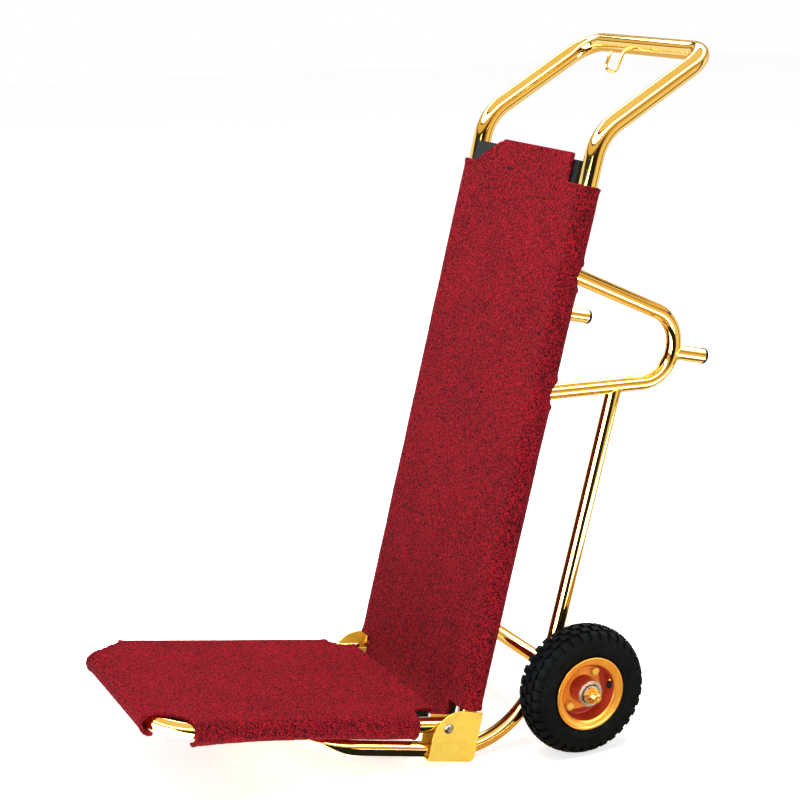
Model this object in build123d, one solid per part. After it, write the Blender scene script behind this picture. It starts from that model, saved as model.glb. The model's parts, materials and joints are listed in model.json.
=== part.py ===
from build123d import *
import os
from math import asin, atan2, cos, degrees, hypot, radians, sin, tan

# Folding luggage cart: a bent-tube frame that leans back on two pneumatic wheels and on the heels of
# its foot brackets, with a carpeted back and a carpeted platform that folds up against the back.
#
# Everything is drawn in the frame's own square position, with the floor run of the base tube level
# along Y and its underside at z = 0, and is leaned back by REST_LEAN at the end.
# +X is the left side, -Y the front (platform), +Y the rear (wheels), +Z up. Millimetres.

# Frame tubes
MAIN_DIAMETER = 31.75
SMALL_DIAMETER = 25.4
TUBE_WALL = 1.6
SIDE_X = 184.0            # centre plane of each side of the frame
UPRIGHT_FOOT_Y = 95.4     # where the upright's centre line meets z = 0
ARM_START = (119.9, 1045.4)   # (y, z) where the upright turns into the handle arm
UPRIGHT_LEAN = degrees(atan2(ARM_START[0] - UPRIGHT_FOOT_Y, ARM_START[1]))   # rearwards
HANDLE = (296.4, 1209.5)      # (y, z) of the crossbar's centre line
ARM_BEND = 85.0
HANDLE_BEND = 48.0

# Base tube: front U, floor runs, rocker bends and struts
BASE_FRONT_Y = -175.0
BASE_CORNER_BEND = 80.0
ROCKER_TURN = (152.4, SMALL_DIAMETER / 2)
ROCKER_BEND = 150.0
STRUT_FOOT = (234.5, 142.3)
STRUT_BEND = 190.0
STRUT_TOP = (249.2, 655.0)

# Side loops and rest pegs
LOOP_TOP = (176.2, 809.3)     # a point on the upper leg's centre line
LOOP_TOP_SLOPE = -0.214
LOOP_LOW = (184.3, 638.0)     # a point on the lower leg's centre line
LOOP_LOW_SLOPE = 0.200
LOOP_REAR_Y = 348.0
LOOP_BEND = 61.0
PEG_Z = 719.5
PEG_TIP_Y = 415.0
PEG_CAP_LENGTH = 6.0

# Garment hook: a J of wire welded under the crossbar, near its middle, open to the front
HOOK_X = -28.0
HOOK_WIRE = 5.5

# Foot brackets and the platform's pivot
PLATE = 2.2
BRACKET_GAP = 32.8            # between the two cheeks
BRACKET_FRONT_Y = 32.0
BRACKET_HEEL_Y = 118.0
BRACKET_ARC = (82.0, 36.0, 50.0)   # centre y, centre z and radius of the rounded front
HEEL_RADIUS = 10.0
FOLD_RADIUS = 2.0             # outside of the folds between sole and cheeks
INNER_CHEEK_TOP = 66.0        # the inner cheek stops just above the pivot
PIVOT = (57.0, 55.6)
PIVOT_PIN = 8.0
PIVOT_HEAD = (14.0, 3.2)      # diameter and height
PIVOT_NUT = (13.0, 7.0)       # across flats and height
BUSH_DIAMETER = 12.0
RUNNING_FIT = 0.05
SIDE_CLEARANCE = 0.35

# Platform, drawn with the pivot at the origin and its length along +Y, then turned and placed
PLATFORM_SLOPE = 2.7          # degrees, front end down
PLATFORM_LENGTH = 496.0       # pivot to the front tube's centre line
PLATFORM_CORNER = 80.0
PLATFORM_TAIL = 13.0          # tube behind the pivot

# Carpet and boards
CARPET = 5.5
CARPET_GAP = 0.15
BOARD = 9.0
BACK_FOOT = 88.0              # along the upright, lower end of the wraps round the tubes
BACK_HEM = 45.0               # lower end of the middle
BACK_SHOULDER = 961.0         # upper end of the wraps
BACK_TOP = 1008.0             # upper end of the middle
BACK_BOARD_TOP = 1000.0
FLAP_FOOT_X = 118.0           # where carpet that comes round a tube meets the back of its board
FLAP_STRIP = 20.0             # and how far it then runs along the board
LOOP_OPENINGS = ((820.0, 60.0), (624.0, 60.0))   # place up the upright and length of each cut
MIDDLE_HALF = 158.0           # half width where board and carpet pass between the brackets
PLATFORM_WRAP_START = 52.0
PLATFORM_REAR = 8.0

# Tabs that hold the boards between their tubes, and their screws
TAB = (26.0, 22.0, 3.0)       # reach under the board, length along the tube, thickness
TAB_OVERLAP = 6.0             # into the tube's outline, where it is welded
TAB_SCREW = 4.0
SCREW_HEAD = (8.5, 2.6)
SCREW_LENGTH = 10.0
BACK_TAB_PLACES = (170, 530, 890)
PLATFORM_TAB_PLACES = (110, 400)

# Wheels (4 inch two-piece rims) and axle
WHEEL_X = 243.0
WHEEL_Y = 269.5
TYRE_RADIUS = 111.0
TYRE_HALF_WIDTH = 32.0
RIM_SEAT = 50.8
RIM_FLANGE = 63.0
RIM_HALF_WIDTH = 30.5
RIM_SHEET = 2.0
HUB_HALF = 30.0
HUB_DIAMETER = 44.5
BEARING_DIAMETER = 40.0
BEARING_WIDTH = 12.0
AXLE_DIAMETER = 17.0
AXLE_THREAD = 16.0
CASTLE_NUT = (24.0, 21.0, 8.0, 12.0)   # across flats, crown diameter, height to crown, full height
WASHER_DIAMETER = 30.0
AXLE_END_X = 297.0
RIM_SPLIT = -4.5              # where the two rim halves meet, inboard of the wheel's middle
HUB_PLATE = 3.0
HUB_PLATE_RADIUS = 36.0
HUB_PLATE_EAR = 8.5
RIM_BOLT_RADIUS = 36.0        # from the axle to each bolt
RIM_BOLT_ANGLE = 61.0         # degrees above the rear
RIM_BOLT = 8.0
VALVE_ANGLE = 22.0            # degrees above the rear

# Stance
REST_LEAN = 12.8              # degrees, the whole cart leans back

PARTS = {}


def add(name, *shapes):
    """Keep a sub-part under its name, as one shape or as a group of separate solids."""
    solids = [solid for shape in shapes for solid in shape.solids()]
    PARTS[name] = solids[0] if len(solids) == 1 else Compound(solids)


def side_name(side):
    return "left" if side > 0 else "right"


def rod(points, bends, diameter):
    """A round bar along straight runs joined by tangent arcs."""
    path = FilletPolyline(*points, radius=bends) if bends else Polyline(*points)
    start = Plane(origin=path @ 0, z_dir=path % 0)
    return sweep(start * Circle(diameter / 2), path=path)


def tube(points, bends, diameter, wall=TUBE_WALL):
    return rod(points, bends, diameter) - rod(points, bends, diameter - 2 * wall)


def bar_x(x0, x1, y, z, diameter):
    """A round bar along X from x0 to x1."""
    return Pos((x0 + x1) / 2, y, z) * Rot(0, 90, 0) * Cylinder(diameter / 2, abs(x1 - x0))


def block(x, y, z):
    """A box from (low, high) pairs."""
    size = [high - low for low, high in (x, y, z)]
    centre = [(high + low) / 2 for low, high in (x, y, z)]
    return Pos(*centre) * Box(*size)


def hexagon_x(x0, x1, across_flats):
    """A hexagonal bar along X at the origin."""
    face = RegularPolygon(across_flats / 2, 6, major_radius=False)
    return Pos(x0, 0, 0) * Rot(0, 90, 0) * extrude(face, x1 - x0)


def upright_y(z):
    return UPRIGHT_FOOT_Y + z * tan(radians(UPRIGHT_LEAN))


# --- Frame tubes -------------------------------------------------------------------------------


def main_path():
    foot = (upright_y(0), 0)
    left = [foot, ARM_START, HANDLE]
    points = [(SIDE_X, y, z) for y, z in left]
    points += [(-SIDE_X, y, z) for y, z in reversed(left)]
    return points, [ARM_BEND, HANDLE_BEND, HANDLE_BEND, ARM_BEND]


def base_path():
    low = SMALL_DIAMETER / 2
    left = [STRUT_TOP, STRUT_FOOT, ROCKER_TURN, (BASE_FRONT_Y, low)]
    points = [(SIDE_X, y, z) for y, z in left]
    points += [(-SIDE_X, y, z) for y, z in reversed(left)]
    bends = [STRUT_BEND, ROCKER_BEND, BASE_CORNER_BEND]
    return points, bends + bends[::-1]


def loop_path(side):
    def top(y):
        return LOOP_TOP[1] + LOOP_TOP_SLOPE * (y - LOOP_TOP[0])

    def low(y):
        return LOOP_LOW[1] + LOOP_LOW_SLOPE * (y - LOOP_LOW[0])

    start_y = upright_y(820)
    end_y = upright_y(620)
    profile = [(start_y, top(start_y)), (LOOP_REAR_Y, top(LOOP_REAR_Y)),
               (LOOP_REAR_Y, low(LOOP_REAR_Y)), (end_y, low(end_y))]
    return [(side * SIDE_X, y, z) for y, z in profile], [LOOP_BEND, LOOP_BEND]


main_points, main_bends = main_path()
base_points, base_bends = base_path()
main_solid = rod(main_points, main_bends, MAIN_DIAMETER)
base_solid = rod(base_points, base_bends, SMALL_DIAMETER)
loop_solids = {side: rod(*loop_path(side), SMALL_DIAMETER) for side in (1, -1)}
both_loops = loop_solids[1] + loop_solids[-1]

add("main_tube", (main_solid - rod(main_points, main_bends, MAIN_DIAMETER - 2 * TUBE_WALL)) - base_solid
    - block((-250, 250), (0, 200), (-40, SMALL_DIAMETER / 2)))
add("base_tube", (base_solid - rod(base_points, base_bends, SMALL_DIAMETER - 2 * TUBE_WALL)) - both_loops
    - block((-250, 250), (200, 300), (STRUT_TOP[1] - 7, STRUT_TOP[1] + 20)))

for side in (1, -1):
    name = side_name(side)
    points, bends = loop_path(side)
    hollow = loop_solids[side] - rod(points, bends, SMALL_DIAMETER - 2 * TUBE_WALL)
    add("side_loop_" + name, hollow - main_solid)
    x = side * SIDE_X
    peg_end = PEG_TIP_Y - PEG_CAP_LENGTH
    peg = tube([(x, LOOP_REAR_Y, PEG_Z), (x, peg_end, PEG_Z)], None, SMALL_DIAMETER)
    add("rest_peg_" + name, peg - loop_solids[side])
    cap = Pos(x, peg_end, PEG_Z) * Rot(-90, 0, 0) * Cylinder(
        SMALL_DIAMETER / 2 + 0.6, PEG_CAP_LENGTH, align=(Align.CENTER, Align.CENTER, Align.MIN))
    plug = Pos(x, peg_end, PEG_Z) * Rot(90, 0, 0) * Cylinder(
        SMALL_DIAMETER / 2 - TUBE_WALL, 14, align=(Align.CENTER, Align.CENTER, Align.MIN))
    add("peg_cap_" + name, fillet((cap.edges() | GeomType.CIRCLE).sort_by(Axis.Y)[-1:], 2) + plug)

hook_profile = [(HANDLE[0] - 8, HANDLE[1] - 6), (HANDLE[0] - 25, HANDLE[1] - 12),
                (HANDLE[0] - 35, HANDLE[1] - 54), (HANDLE[0] - 57, HANDLE[1] - 50),
                (HANDLE[0] - 52, HANDLE[1] - 22)]
hook = rod([(HOOK_X, y, z) for y, z in hook_profile], [10, 10, 9], HOOK_WIRE)
add("garment_hook", hook - main_solid)

# --- Foot brackets and pivot ---------------------------------------------------------------------

cheek_in = BRACKET_GAP / 2


def bracket_outline():
    """Side view of a bracket: a quarter round at the front, a straight top and a rounded heel."""
    arc_y, arc_z, arc_radius = BRACKET_ARC
    rear_top_y = BRACKET_HEEL_Y + 84 * tan(radians(UPRIGHT_LEAN)) - 3
    rear_top_z = arc_z + arc_radius - 2
    heel_z = HEEL_RADIUS - PLATE
    heel_mid = HEEL_RADIUS * sin(radians(45))
    front = Line((BRACKET_FRONT_Y, -PLATE), (BRACKET_FRONT_Y, arc_z))
    nose_y = arc_y - arc_radius * cos(radians(45))
    nose_z = arc_z + arc_radius * sin(radians(45))
    nose = ThreePointArc((BRACKET_FRONT_Y, arc_z), (nose_y, nose_z), (arc_y, arc_z + arc_radius))
    top = Line((arc_y, arc_z + arc_radius), (rear_top_y, rear_top_z))
    rear = Line((rear_top_y, rear_top_z), (BRACKET_HEEL_Y, heel_z))
    heel_y = BRACKET_HEEL_Y - HEEL_RADIUS
    heel = ThreePointArc((BRACKET_HEEL_Y, heel_z), (heel_y + heel_mid, heel_z - heel_mid), (heel_y, -PLATE))
    sole = Line((heel_y, -PLATE), (BRACKET_FRONT_Y, -PLATE))
    return make_face([front, nose, top, rear, heel, sole])


def bracket(side):
    half = cheek_in + PLATE
    outline = Plane.YZ * bracket_outline()
    body = Pos(side * SIDE_X - half, 0, 0) * extrude(outline, 2 * half)
    sole_edges = (body.edges() | Axis.Y).group_by(Axis.Z)[0]
    body = fillet(sole_edges, FOLD_RADIUS)
    sole_top = block((-300, 300), (0, 200), (0, 200))
    open_rear = block((-300, 300), (BRACKET_HEEL_Y - HEEL_RADIUS, 200), (-20, 200))
    channel = block((side * SIDE_X - cheek_in, side * SIDE_X + cheek_in), (0, 200), (-20, 200))
    inside = channel & (sole_top + open_rear)
    pin_hole = bar_x(side * SIDE_X - 40, side * SIDE_X + 40, *PIVOT, PIVOT_PIN)
    inner_top = block((side * SIDE_X - half, side * SIDE_X), (0, 200), (INNER_CHEEK_TOP, 200))
    if side < 0:
        inner_top = block((side * SIDE_X, side * SIDE_X + half), (0, 200), (INNER_CHEEK_TOP, 200))
    return body - inside - pin_hole - inner_top


for side in (1, -1):
    name = side_name(side)
    add("foot_bracket_" + name, bracket(side))
    outer = side * (SIDE_X + cheek_in + PLATE)
    inner = side * (SIDE_X - cheek_in - PLATE)
    shank = bar_x(outer, inner - side * (PIVOT_NUT[1] + 2), *PIVOT, PIVOT_PIN)
    head = bar_x(outer, outer + side * PIVOT_HEAD[1], *PIVOT, PIVOT_HEAD[0])
    rim_edge = (head.edges() | GeomType.CIRCLE).sort_by(Axis.X)[-1 if side > 0 else 0]
    add("pivot_bolt_" + name, fillet(rim_edge, 2.4) + shank)
    nut = hexagon_x(0, PIVOT_NUT[1], PIVOT_NUT[0])
    nut_x = inner if side < 0 else inner - PIVOT_NUT[1]
    bore = bar_x(-20, 20, 0, 0, PIVOT_PIN)
    add("pivot_nut_" + name, Pos(nut_x, *PIVOT) * (nut - bore))

# --- Back board and carpet -----------------------------------------------------------------------

# The upright's own frame: origin at its foot, z along the upright, y to the rear
UPRIGHT = Pos(0, UPRIGHT_FOOT_Y, 0) * Rot(-UPRIGHT_LEAN, 0, 0)


def prism(outline, y0, y1):
    """A plate in the XZ plane between y0 and y1, from (x, z) corners."""
    face = Plane.XZ * make_face(Polyline(*outline, close=True))
    return Pos(0, y1, 0) * extrude(face, y1 - y0)


main_r = MAIN_DIAMETER / 2
board_side = SIDE_X - main_r * 0.92
back_board_outline = [(-MIDDLE_HALF, BACK_HEM + 4), (MIDDLE_HALF, BACK_HEM + 4), (MIDDLE_HALF, BACK_FOOT + 4),
                      (board_side, BACK_FOOT + 4), (board_side, BACK_BOARD_TOP),
                      (-board_side, BACK_BOARD_TOP), (-board_side, BACK_FOOT + 4),
                      (-MIDDLE_HALF, BACK_FOOT + 4)]
board_front = -main_r
board_rear = board_front + BOARD
back_board = prism(back_board_outline, board_front, board_rear)



def tab_set(places, half_span, surface, rods):
    """Small steel tabs from the side tubes in behind a board; places are positions along the tube."""
    tabs = []
    for place in places:
        for side in (1, -1):
            x0 = side * (half_span - TAB[0])
            x1 = side * (half_span + TAB_OVERLAP)
            x = (min(x0, x1), max(x0, x1))
            tabs.append(block(x, (surface, surface + TAB[2]), (place - TAB[1] / 2, place + TAB[1] / 2)))
    return [tab - rods for tab in tabs]


def screw_set(places, half_span, surface):
    """Pan-head screws through the tabs into the board."""
    screws = []
    for place in places:
        for side in (1, -1):
            centre = Pos(side * (half_span - TAB[0] + 9), 0, place) * Rot(90, 0, 0)
            shank = Pos(0, surface + TAB[2], 0) * centre * Cylinder(
                TAB_SCREW / 2, SCREW_LENGTH, align=(Align.CENTER, Align.CENTER, Align.MIN))
            head = Pos(0, surface + TAB[2] + SCREW_HEAD[1], 0) * centre * Cylinder(
                SCREW_HEAD[0] / 2, SCREW_HEAD[1], align=(Align.CENTER, Align.CENTER, Align.MIN))
            screws.append(head + shank)
    return screws


upright_bars = [Pos(s * SIDE_X, 0, 500) * Cylinder(main_r, 1300) for s in (1, -1)]
back_tabs = tab_set(BACK_TAB_PLACES, board_side, board_rear, upright_bars[0] + upright_bars[1])
back_screws = screw_set(BACK_TAB_PLACES, board_side, board_rear)
all_back_screws = Compound([s for screw in back_screws for s in screw.solids()])


def wrapped_slab(half_x, z0, z1, radius):
    """A slab with full-round long sides: two tubes and all that lies between them."""
    slab = block((-half_x, half_x), (-radius, radius), (z0, z1))
    for s in (1, -1):
        slab += Pos(s * half_x, 0, (z0 + z1) / 2) * Cylinder(radius, z1 - z0)
    return slab


def plan(outline, z0, z1):
    """A plate in the XY plane from (x, y) corners, between z0 and z1."""
    return Pos(0, 0, z0) * extrude(make_face(Polyline(*outline, close=True)), z1 - z0)


def both_sides(shape):
    return shape + mirror(shape, Plane.YZ)


def flap(tube_r):
    """Where the carpet leaves a tube behind its board: the slant's angle, and the (x, depth) corners
    of the slanted flap and the strip that lies on the board."""
    inner = tube_r + CARPET_GAP
    board_back = BOARD - tube_r + CARPET_GAP
    reach = SIDE_X - FLAP_FOOT_X
    slant = atan2(-board_back, reach) + asin(inner / hypot(reach, board_back))
    leave_in = (SIDE_X - inner * sin(slant), inner * cos(slant))
    leave_out = (SIDE_X - (inner + CARPET) * sin(slant), (inner + CARPET) * cos(slant))
    run = (leave_out[1] - board_back - CARPET) / sin(slant)
    foot_out = (leave_out[0] - run * cos(slant), board_back + CARPET)
    edge_x = FLAP_FOOT_X - FLAP_STRIP
    corners = [leave_in, (FLAP_FOOT_X, board_back), (edge_x, board_back), (edge_x, board_back + CARPET),
               foot_out, leave_out]
    return slant, corners


def behind_slant(slant, middle, edge):
    """Everything behind a board, as far as the line along which the carpet leaves the tube."""
    far = 60
    return [(middle, 0), (middle - far * sin(slant), far * cos(slant)), (edge, far), (edge, 0)]


def back_carpet_shape():
    inner_r = main_r + CARPET_GAP
    outer_r = inner_r + CARPET
    behind = -main_r + 6
    sheet = wrapped_slab(SIDE_X, BACK_HEM, BACK_TOP, outer_r) - wrapped_slab(SIDE_X, 0, 1100, inner_r)
    slant, corners = flap(main_r)
    sheet -= both_sides(plan(behind_slant(slant, SIDE_X, -1), 0, 1100))
    sheet += both_sides(plan(corners, BACK_FOOT, BACK_SHOULDER))
    low_corner = block((MIDDLE_HALF, 260), (-60, 60), (0, BACK_FOOT))
    behind_foot = block((90, 260), (behind, 60), (0, BACK_FOOT))
    behind_top = block((-260, 260), (behind, 60), (BACK_SHOULDER, 1100))
    left_notch = block((153, 260), (-60, 60), (BACK_SHOULDER, 1100))
    right_notch = prism([(-260, BACK_SHOULDER), (-150, BACK_SHOULDER + 3), (-84, BACK_TOP - 6),
                         (-66, BACK_TOP + 1), (-66, 1100), (-260, 1100)], -60, 60)
    sheet -= both_sides(low_corner + behind_foot) + behind_top + left_notch + right_notch
    for z, length in LOOP_OPENINGS:
        opening = block((SIDE_X - 17, 260), (main_r * 0.2, 60), (z - length / 2, z + length / 2))
        sheet -= both_sides(opening)
    return sheet


back_carpet = back_carpet_shape()
add("back_board", UPRIGHT * (back_board - all_back_screws))
add("back_carpet", UPRIGHT * back_carpet)
add("back_board_tabs", *[UPRIGHT * (tab - all_back_screws) for tab in back_tabs])
add("back_board_screws", *[UPRIGHT * screw for screw in back_screws])

# --- Platform --------------------------------------------------------------------------------------

# The platform's own frame: pivot at the origin, y towards its front, z up. The cart's front is at -Y,
# so the platform is turned half round about Z before it is placed.
PLATFORM = Pos(0, *PIVOT) * Rot(PLATFORM_SLOPE, 0, 0) * Rot(0, 0, 180)

small_r = SMALL_DIAMETER / 2
platform_points = [(SIDE_X, -PLATFORM_TAIL, 0), (SIDE_X, PLATFORM_LENGTH, 0),
                   (-SIDE_X, PLATFORM_LENGTH, 0), (-SIDE_X, -PLATFORM_TAIL, 0)]
platform_bends = [PLATFORM_CORNER, PLATFORM_CORNER]
platform_solid = rod(platform_points, platform_bends, SMALL_DIAMETER)
platform_bore = rod(platform_points, platform_bends, SMALL_DIAMETER - 2 * TUBE_WALL)
bush_length = BRACKET_GAP - 2 * SIDE_CLEARANCE
bush_bars = [bar_x(s * SIDE_X - bush_length / 2, s * SIDE_X + bush_length / 2, 0, 0, BUSH_DIAMETER)
             for s in (1, -1)]
bush_bores = [bar_x(s * SIDE_X - 30, s * SIDE_X + 30, 0, 0, PIVOT_PIN + 2 * RUNNING_FIT) for s in (1, -1)]
bushes = [bar - bore for bar, bore in zip(bush_bars, bush_bores)]


def platform_board_shape():
    half = SIDE_X - small_r * 0.97
    front = PLATFORM_LENGTH - small_r * 0.97
    rear = PLATFORM_REAR + 8
    outline = [(-MIDDLE_HALF, rear), (MIDDLE_HALF, rear), (MIDDLE_HALF, PLATFORM_WRAP_START + 8),
               (half, PLATFORM_WRAP_START + 8), (half, front), (-half, front),
               (-half, PLATFORM_WRAP_START + 8), (-MIDDLE_HALF, PLATFORM_WRAP_START + 8)]
    board = plan(outline, small_r - BOARD, small_r)
    corners = (board.edges() | Axis.Z).group_by(Axis.Y)[-1]
    return fillet(corners, PLATFORM_CORNER - small_r * 0.97)


def round_slab(radius, rear):
    """The platform tube at a given radius, filled in between its legs."""
    bars = rod([(x, rear if y < 0 else y, z) for x, y, z in platform_points], platform_bends, 2 * radius)
    corner = fillet(
        (plan([(-SIDE_X, rear), (SIDE_X, rear), (SIDE_X, PLATFORM_LENGTH), (-SIDE_X, PLATFORM_LENGTH)],
              -radius, radius).edges() | Axis.Z).group_by(Axis.Y)[-1], PLATFORM_CORNER)
    return bars + corner


def under_prism(outline, y0, y1):
    """A bar along Y, from (x, depth below the tubes' centres) corners."""
    return prism([(x, -depth) for x, depth in outline], y0, y1)


def platform_carpet_shape():
    inner_r = small_r + CARPET_GAP
    outer_r = inner_r + CARPET
    sheet = round_slab(outer_r, PLATFORM_REAR) - round_slab(inner_r, -30)
    slant, corners = flap(small_r)
    side_front = PLATFORM_LENGTH - SIDE_X + FLAP_FOOT_X - FLAP_STRIP - 6
    front_half = SIDE_X - PLATFORM_CORNER + 8
    under_side = under_prism(behind_slant(slant, SIDE_X, -1), -30, PLATFORM_LENGTH - 25)
    # the front edge is a side edge turned a quarter round and moved out to the front tube
    to_front = Pos(0, PLATFORM_LENGTH - SIDE_X, 0) * Rot(0, 0, 90)
    under_front = to_front * under_prism(behind_slant(slant, SIDE_X, SIDE_X - 40), -170, 170)
    sheet -= both_sides(under_side) + under_front
    sheet += both_sides(under_prism(corners, PLATFORM_WRAP_START, side_front))
    sheet += to_front * under_prism(corners, -front_half, front_half)
    corner_cut = [(140, 560), (140, 480), (152, 466), (172, 445), (260, 440), (260, 560)]
    rear_cut = [(MIDDLE_HALF, -30), (MIDDLE_HALF, PLATFORM_WRAP_START - 12),
                (170, PLATFORM_WRAP_START), (260, PLATFORM_WRAP_START), (260, -30)]
    return sheet - both_sides(plan(corner_cut, -60, 60) + plan(rear_cut, -60, 60))


def lay_flat(shape):
    """Turn tabs and screws, drawn behind an upright board, to lie under the platform board."""
    return Rot(-90, 0, 0) * shape


platform_bars = [Pos(s * SIDE_X, 0, 200) * Cylinder(small_r, 900) for s in (1, -1)]
tab_level = BOARD - small_r
platform_tabs = tab_set(PLATFORM_TAB_PLACES, SIDE_X - small_r * 0.97, tab_level,
                        platform_bars[0] + platform_bars[1])
platform_screws = screw_set(PLATFORM_TAB_PLACES, SIDE_X - small_r * 0.97, tab_level)
platform_tabs = [lay_flat(tab) for tab in platform_tabs]
platform_screws = [lay_flat(screw) for screw in platform_screws]
all_platform_screws = Compound([s for screw in platform_screws for s in screw.solids()])

hollow_platform = platform_solid - platform_bore - bush_bars[0] - bush_bars[1]
add("platform_tube", PLATFORM * hollow_platform)
add("pivot_bushes", *[PLATFORM * bush for bush in bushes])
add("platform_board", PLATFORM * (platform_board_shape() - all_platform_screws))
add("platform_carpet", PLATFORM * platform_carpet_shape())
add("platform_board_tabs", *[PLATFORM * (tab - all_platform_screws) for tab in platform_tabs])
add("platform_board_screws", *[PLATFORM * screw for screw in platform_screws])

# --- Axle ------------------------------------------------------------------------------------------

lean = radians(REST_LEAN)
heel_drop = (BRACKET_HEEL_Y - HEEL_RADIUS) * sin(lean) - (HEEL_RADIUS - PLATE) * cos(lean) + HEEL_RADIUS
# The tyres touch the same floor as the bracket heels once the cart leans back
WHEEL_Z = (TYRE_RADIUS - heel_drop + WHEEL_Y * sin(lean)) / cos(lean)

tube_end = SIDE_X + small_r
hub_inner = WHEEL_X - HUB_HALF
hub_outer = WHEEL_X + HUB_HALF
axle_hole = AXLE_DIAMETER + 0.1
add("axle_tube", bar_x(-tube_end, tube_end, WHEEL_Y, WHEEL_Z, SMALL_DIAMETER)
    - bar_x(-300, 300, WHEEL_Y, WHEEL_Z, axle_hole) - base_solid)
washer_in = hub_outer + SIDE_CLEARANCE
nut_in = washer_in + 2.2
thread_in = hub_outer - 1
spacers = []
washers = []
nuts = []
pins = []
for side in (1, -1):
    x0 = tube_end if side > 0 else -tube_end
    x1 = side * (hub_inner - SIDE_CLEARANCE)
    spacers.append(bar_x(x0, x1, WHEEL_Y, WHEEL_Z, 24) - bar_x(-300, 300, WHEEL_Y, WHEEL_Z, axle_hole))
    washer = bar_x(side * washer_in, side * nut_in, WHEEL_Y, WHEEL_Z, WASHER_DIAMETER)
    washers.append(washer - bar_x(-400, 400, WHEEL_Y, WHEEL_Z, AXLE_THREAD))
    across, crown_diameter, body_height, full_height = CASTLE_NUT
    body = hexagon_x(0, body_height, across)
    crown = bar_x(body_height, full_height, 0, 0, crown_diameter)
    slots = block((body_height + 0.5, full_height + 1), (-across, across), (-1.4, 1.4))
    slots += Rot(60, 0, 0) * slots + Rot(120, 0, 0) * slots
    nut = body + crown - slots - bar_x(-5, 20, 0, 0, AXLE_THREAD)
    nut = nut if side > 0 else mirror(nut, Plane.YZ)
    nuts.append(Pos(side * nut_in, WHEEL_Y, WHEEL_Z) * nut)
    pin = Pos(side * (nut_in + 10.3), WHEEL_Y, WHEEL_Z) * Rot(90, 0, 0) * Cylinder(1.1, 25)
    pins.append(pin)
axle = bar_x(-thread_in, thread_in, WHEEL_Y, WHEEL_Z, AXLE_DIAMETER)
axle += bar_x(-AXLE_END_X, AXLE_END_X, WHEEL_Y, WHEEL_Z, AXLE_THREAD)
add("axle_rod", axle - pins[0] - pins[1])
add("axle_spacers", *spacers)
add("axle_washers", *washers)
add("axle_nuts", *nuts)
add("cotter_pins", *pins)
for side in (1, -1):
    lug = block((side * SIDE_X - 4, side * SIDE_X + 4), (228, WHEEL_Y), (WHEEL_Z - 16, WHEEL_Z + 16))
    lug -= base_solid
    lug -= bar_x(-300, 300, WHEEL_Y, WHEEL_Z, SMALL_DIAMETER)
    behind = [solid for solid in lug.solids() if solid.center().Y > STRUT_FOOT[0]]
    add("axle_lug_" + side_name(side), max(behind, key=lambda solid: solid.volume))

# --- Wheels ----------------------------------------------------------------------------------------


def turned(profile):
    """A solid of revolution about X from its (x, radius) outline."""
    face = make_face(profile)
    return revolve(face, Axis.X)


def ring_profile(points):
    return Polyline(*points, close=True)


def tyre_shape():
    """Bead, bulging sidewall, shoulder and crown, with the cavity for the inner tube."""
    w = TYRE_HALF_WIDTH
    r = TYRE_RADIUS
    bead = RIM_SEAT
    bead_x = RIM_HALF_WIDTH - 6.2
    hook = RIM_FLANGE + 1
    toe = Line((bead_x, bead), (bead_x, RIM_FLANGE - 5))
    lip = Line((bead_x, RIM_FLANGE - 5), (bead_x + 2, hook))
    wall = ThreePointArc((bead_x + 2, hook), (w, bead + 31), (w - 4, r - 9))
    crown = ThreePointArc((w - 4, r - 9), (0, r), (4 - w, r - 9))
    half = [toe, lip, wall]
    mirrored = [mirror(edge, Plane.YZ) for edge in half]
    base_left = Line((-bead_x, bead), (13 - w, bead))
    far_in = ThreePointArc((13 - w, bead), (5.5 - w, bead + 28), (12 - w, r - 14))
    crown_in = ThreePointArc((12 - w, r - 14), (0, r - 7.5), (w - 12, r - 14))
    wall_in = ThreePointArc((w - 12, r - 14), (w - 5.5, bead + 28), (w - 13, bead))
    base_right = Line((w - 13, bead), (bead_x, bead))
    return turned(half + [crown] + mirrored + [base_left, far_in, crown_in, wall_in, base_right])


def inner_tube_shape():
    """An air tube that lies just inside the tyre's cavity, as a closed hollow ring."""
    middle = (RIM_SEAT + TYRE_RADIUS) / 2 - 0.5
    outer = Pos(0, middle) * Ellipse(TYRE_HALF_WIDTH - 9, 21)
    inner = Pos(0, middle) * Ellipse(TYRE_HALF_WIDTH - 11, 19)
    return revolve(outer, Axis.X) - revolve(inner, Axis.X)


def rim_half_shape(split):
    """Half of the rim, from its web at the split out to its rolled flange, with hub and bolt holes."""
    s = RIM_SHEET
    w = RIM_HALF_WIDTH
    seat = RIM_SEAT
    web_in = HUB_DIAMETER / 2
    face = split + s
    points = [(split, web_in), (face, web_in), (face, seat - 4 - s), (face + 2.5, seat - 1.5 - s),
              (w - 4 - s, seat - s), (w - 4 + s / 4, seat + 3), (w - 2, RIM_FLANGE - 4),
              (w, RIM_FLANGE - 2), (w, RIM_FLANGE), (w - 2, RIM_FLANGE), (w - 4, RIM_FLANGE - 3.5),
              (w - 4 - s / 2, seat + 4), (w - 5 - s / 2, seat), (split + 3, seat - 1.5), (split, seat - 5)]
    half = turned([ring_profile(points)])
    return half - rim_bolt_bars()


def rim_bolt_places():
    angle = radians(RIM_BOLT_ANGLE)
    return [(s * RIM_BOLT_RADIUS * cos(angle), s * RIM_BOLT_RADIUS * sin(angle)) for s in (1, -1)]


def rim_bolt_bars():
    bars = [bar_x(-20, 20, y, z, RIM_BOLT) for y, z in rim_bolt_places()]
    return bars[0] + bars[1]


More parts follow.
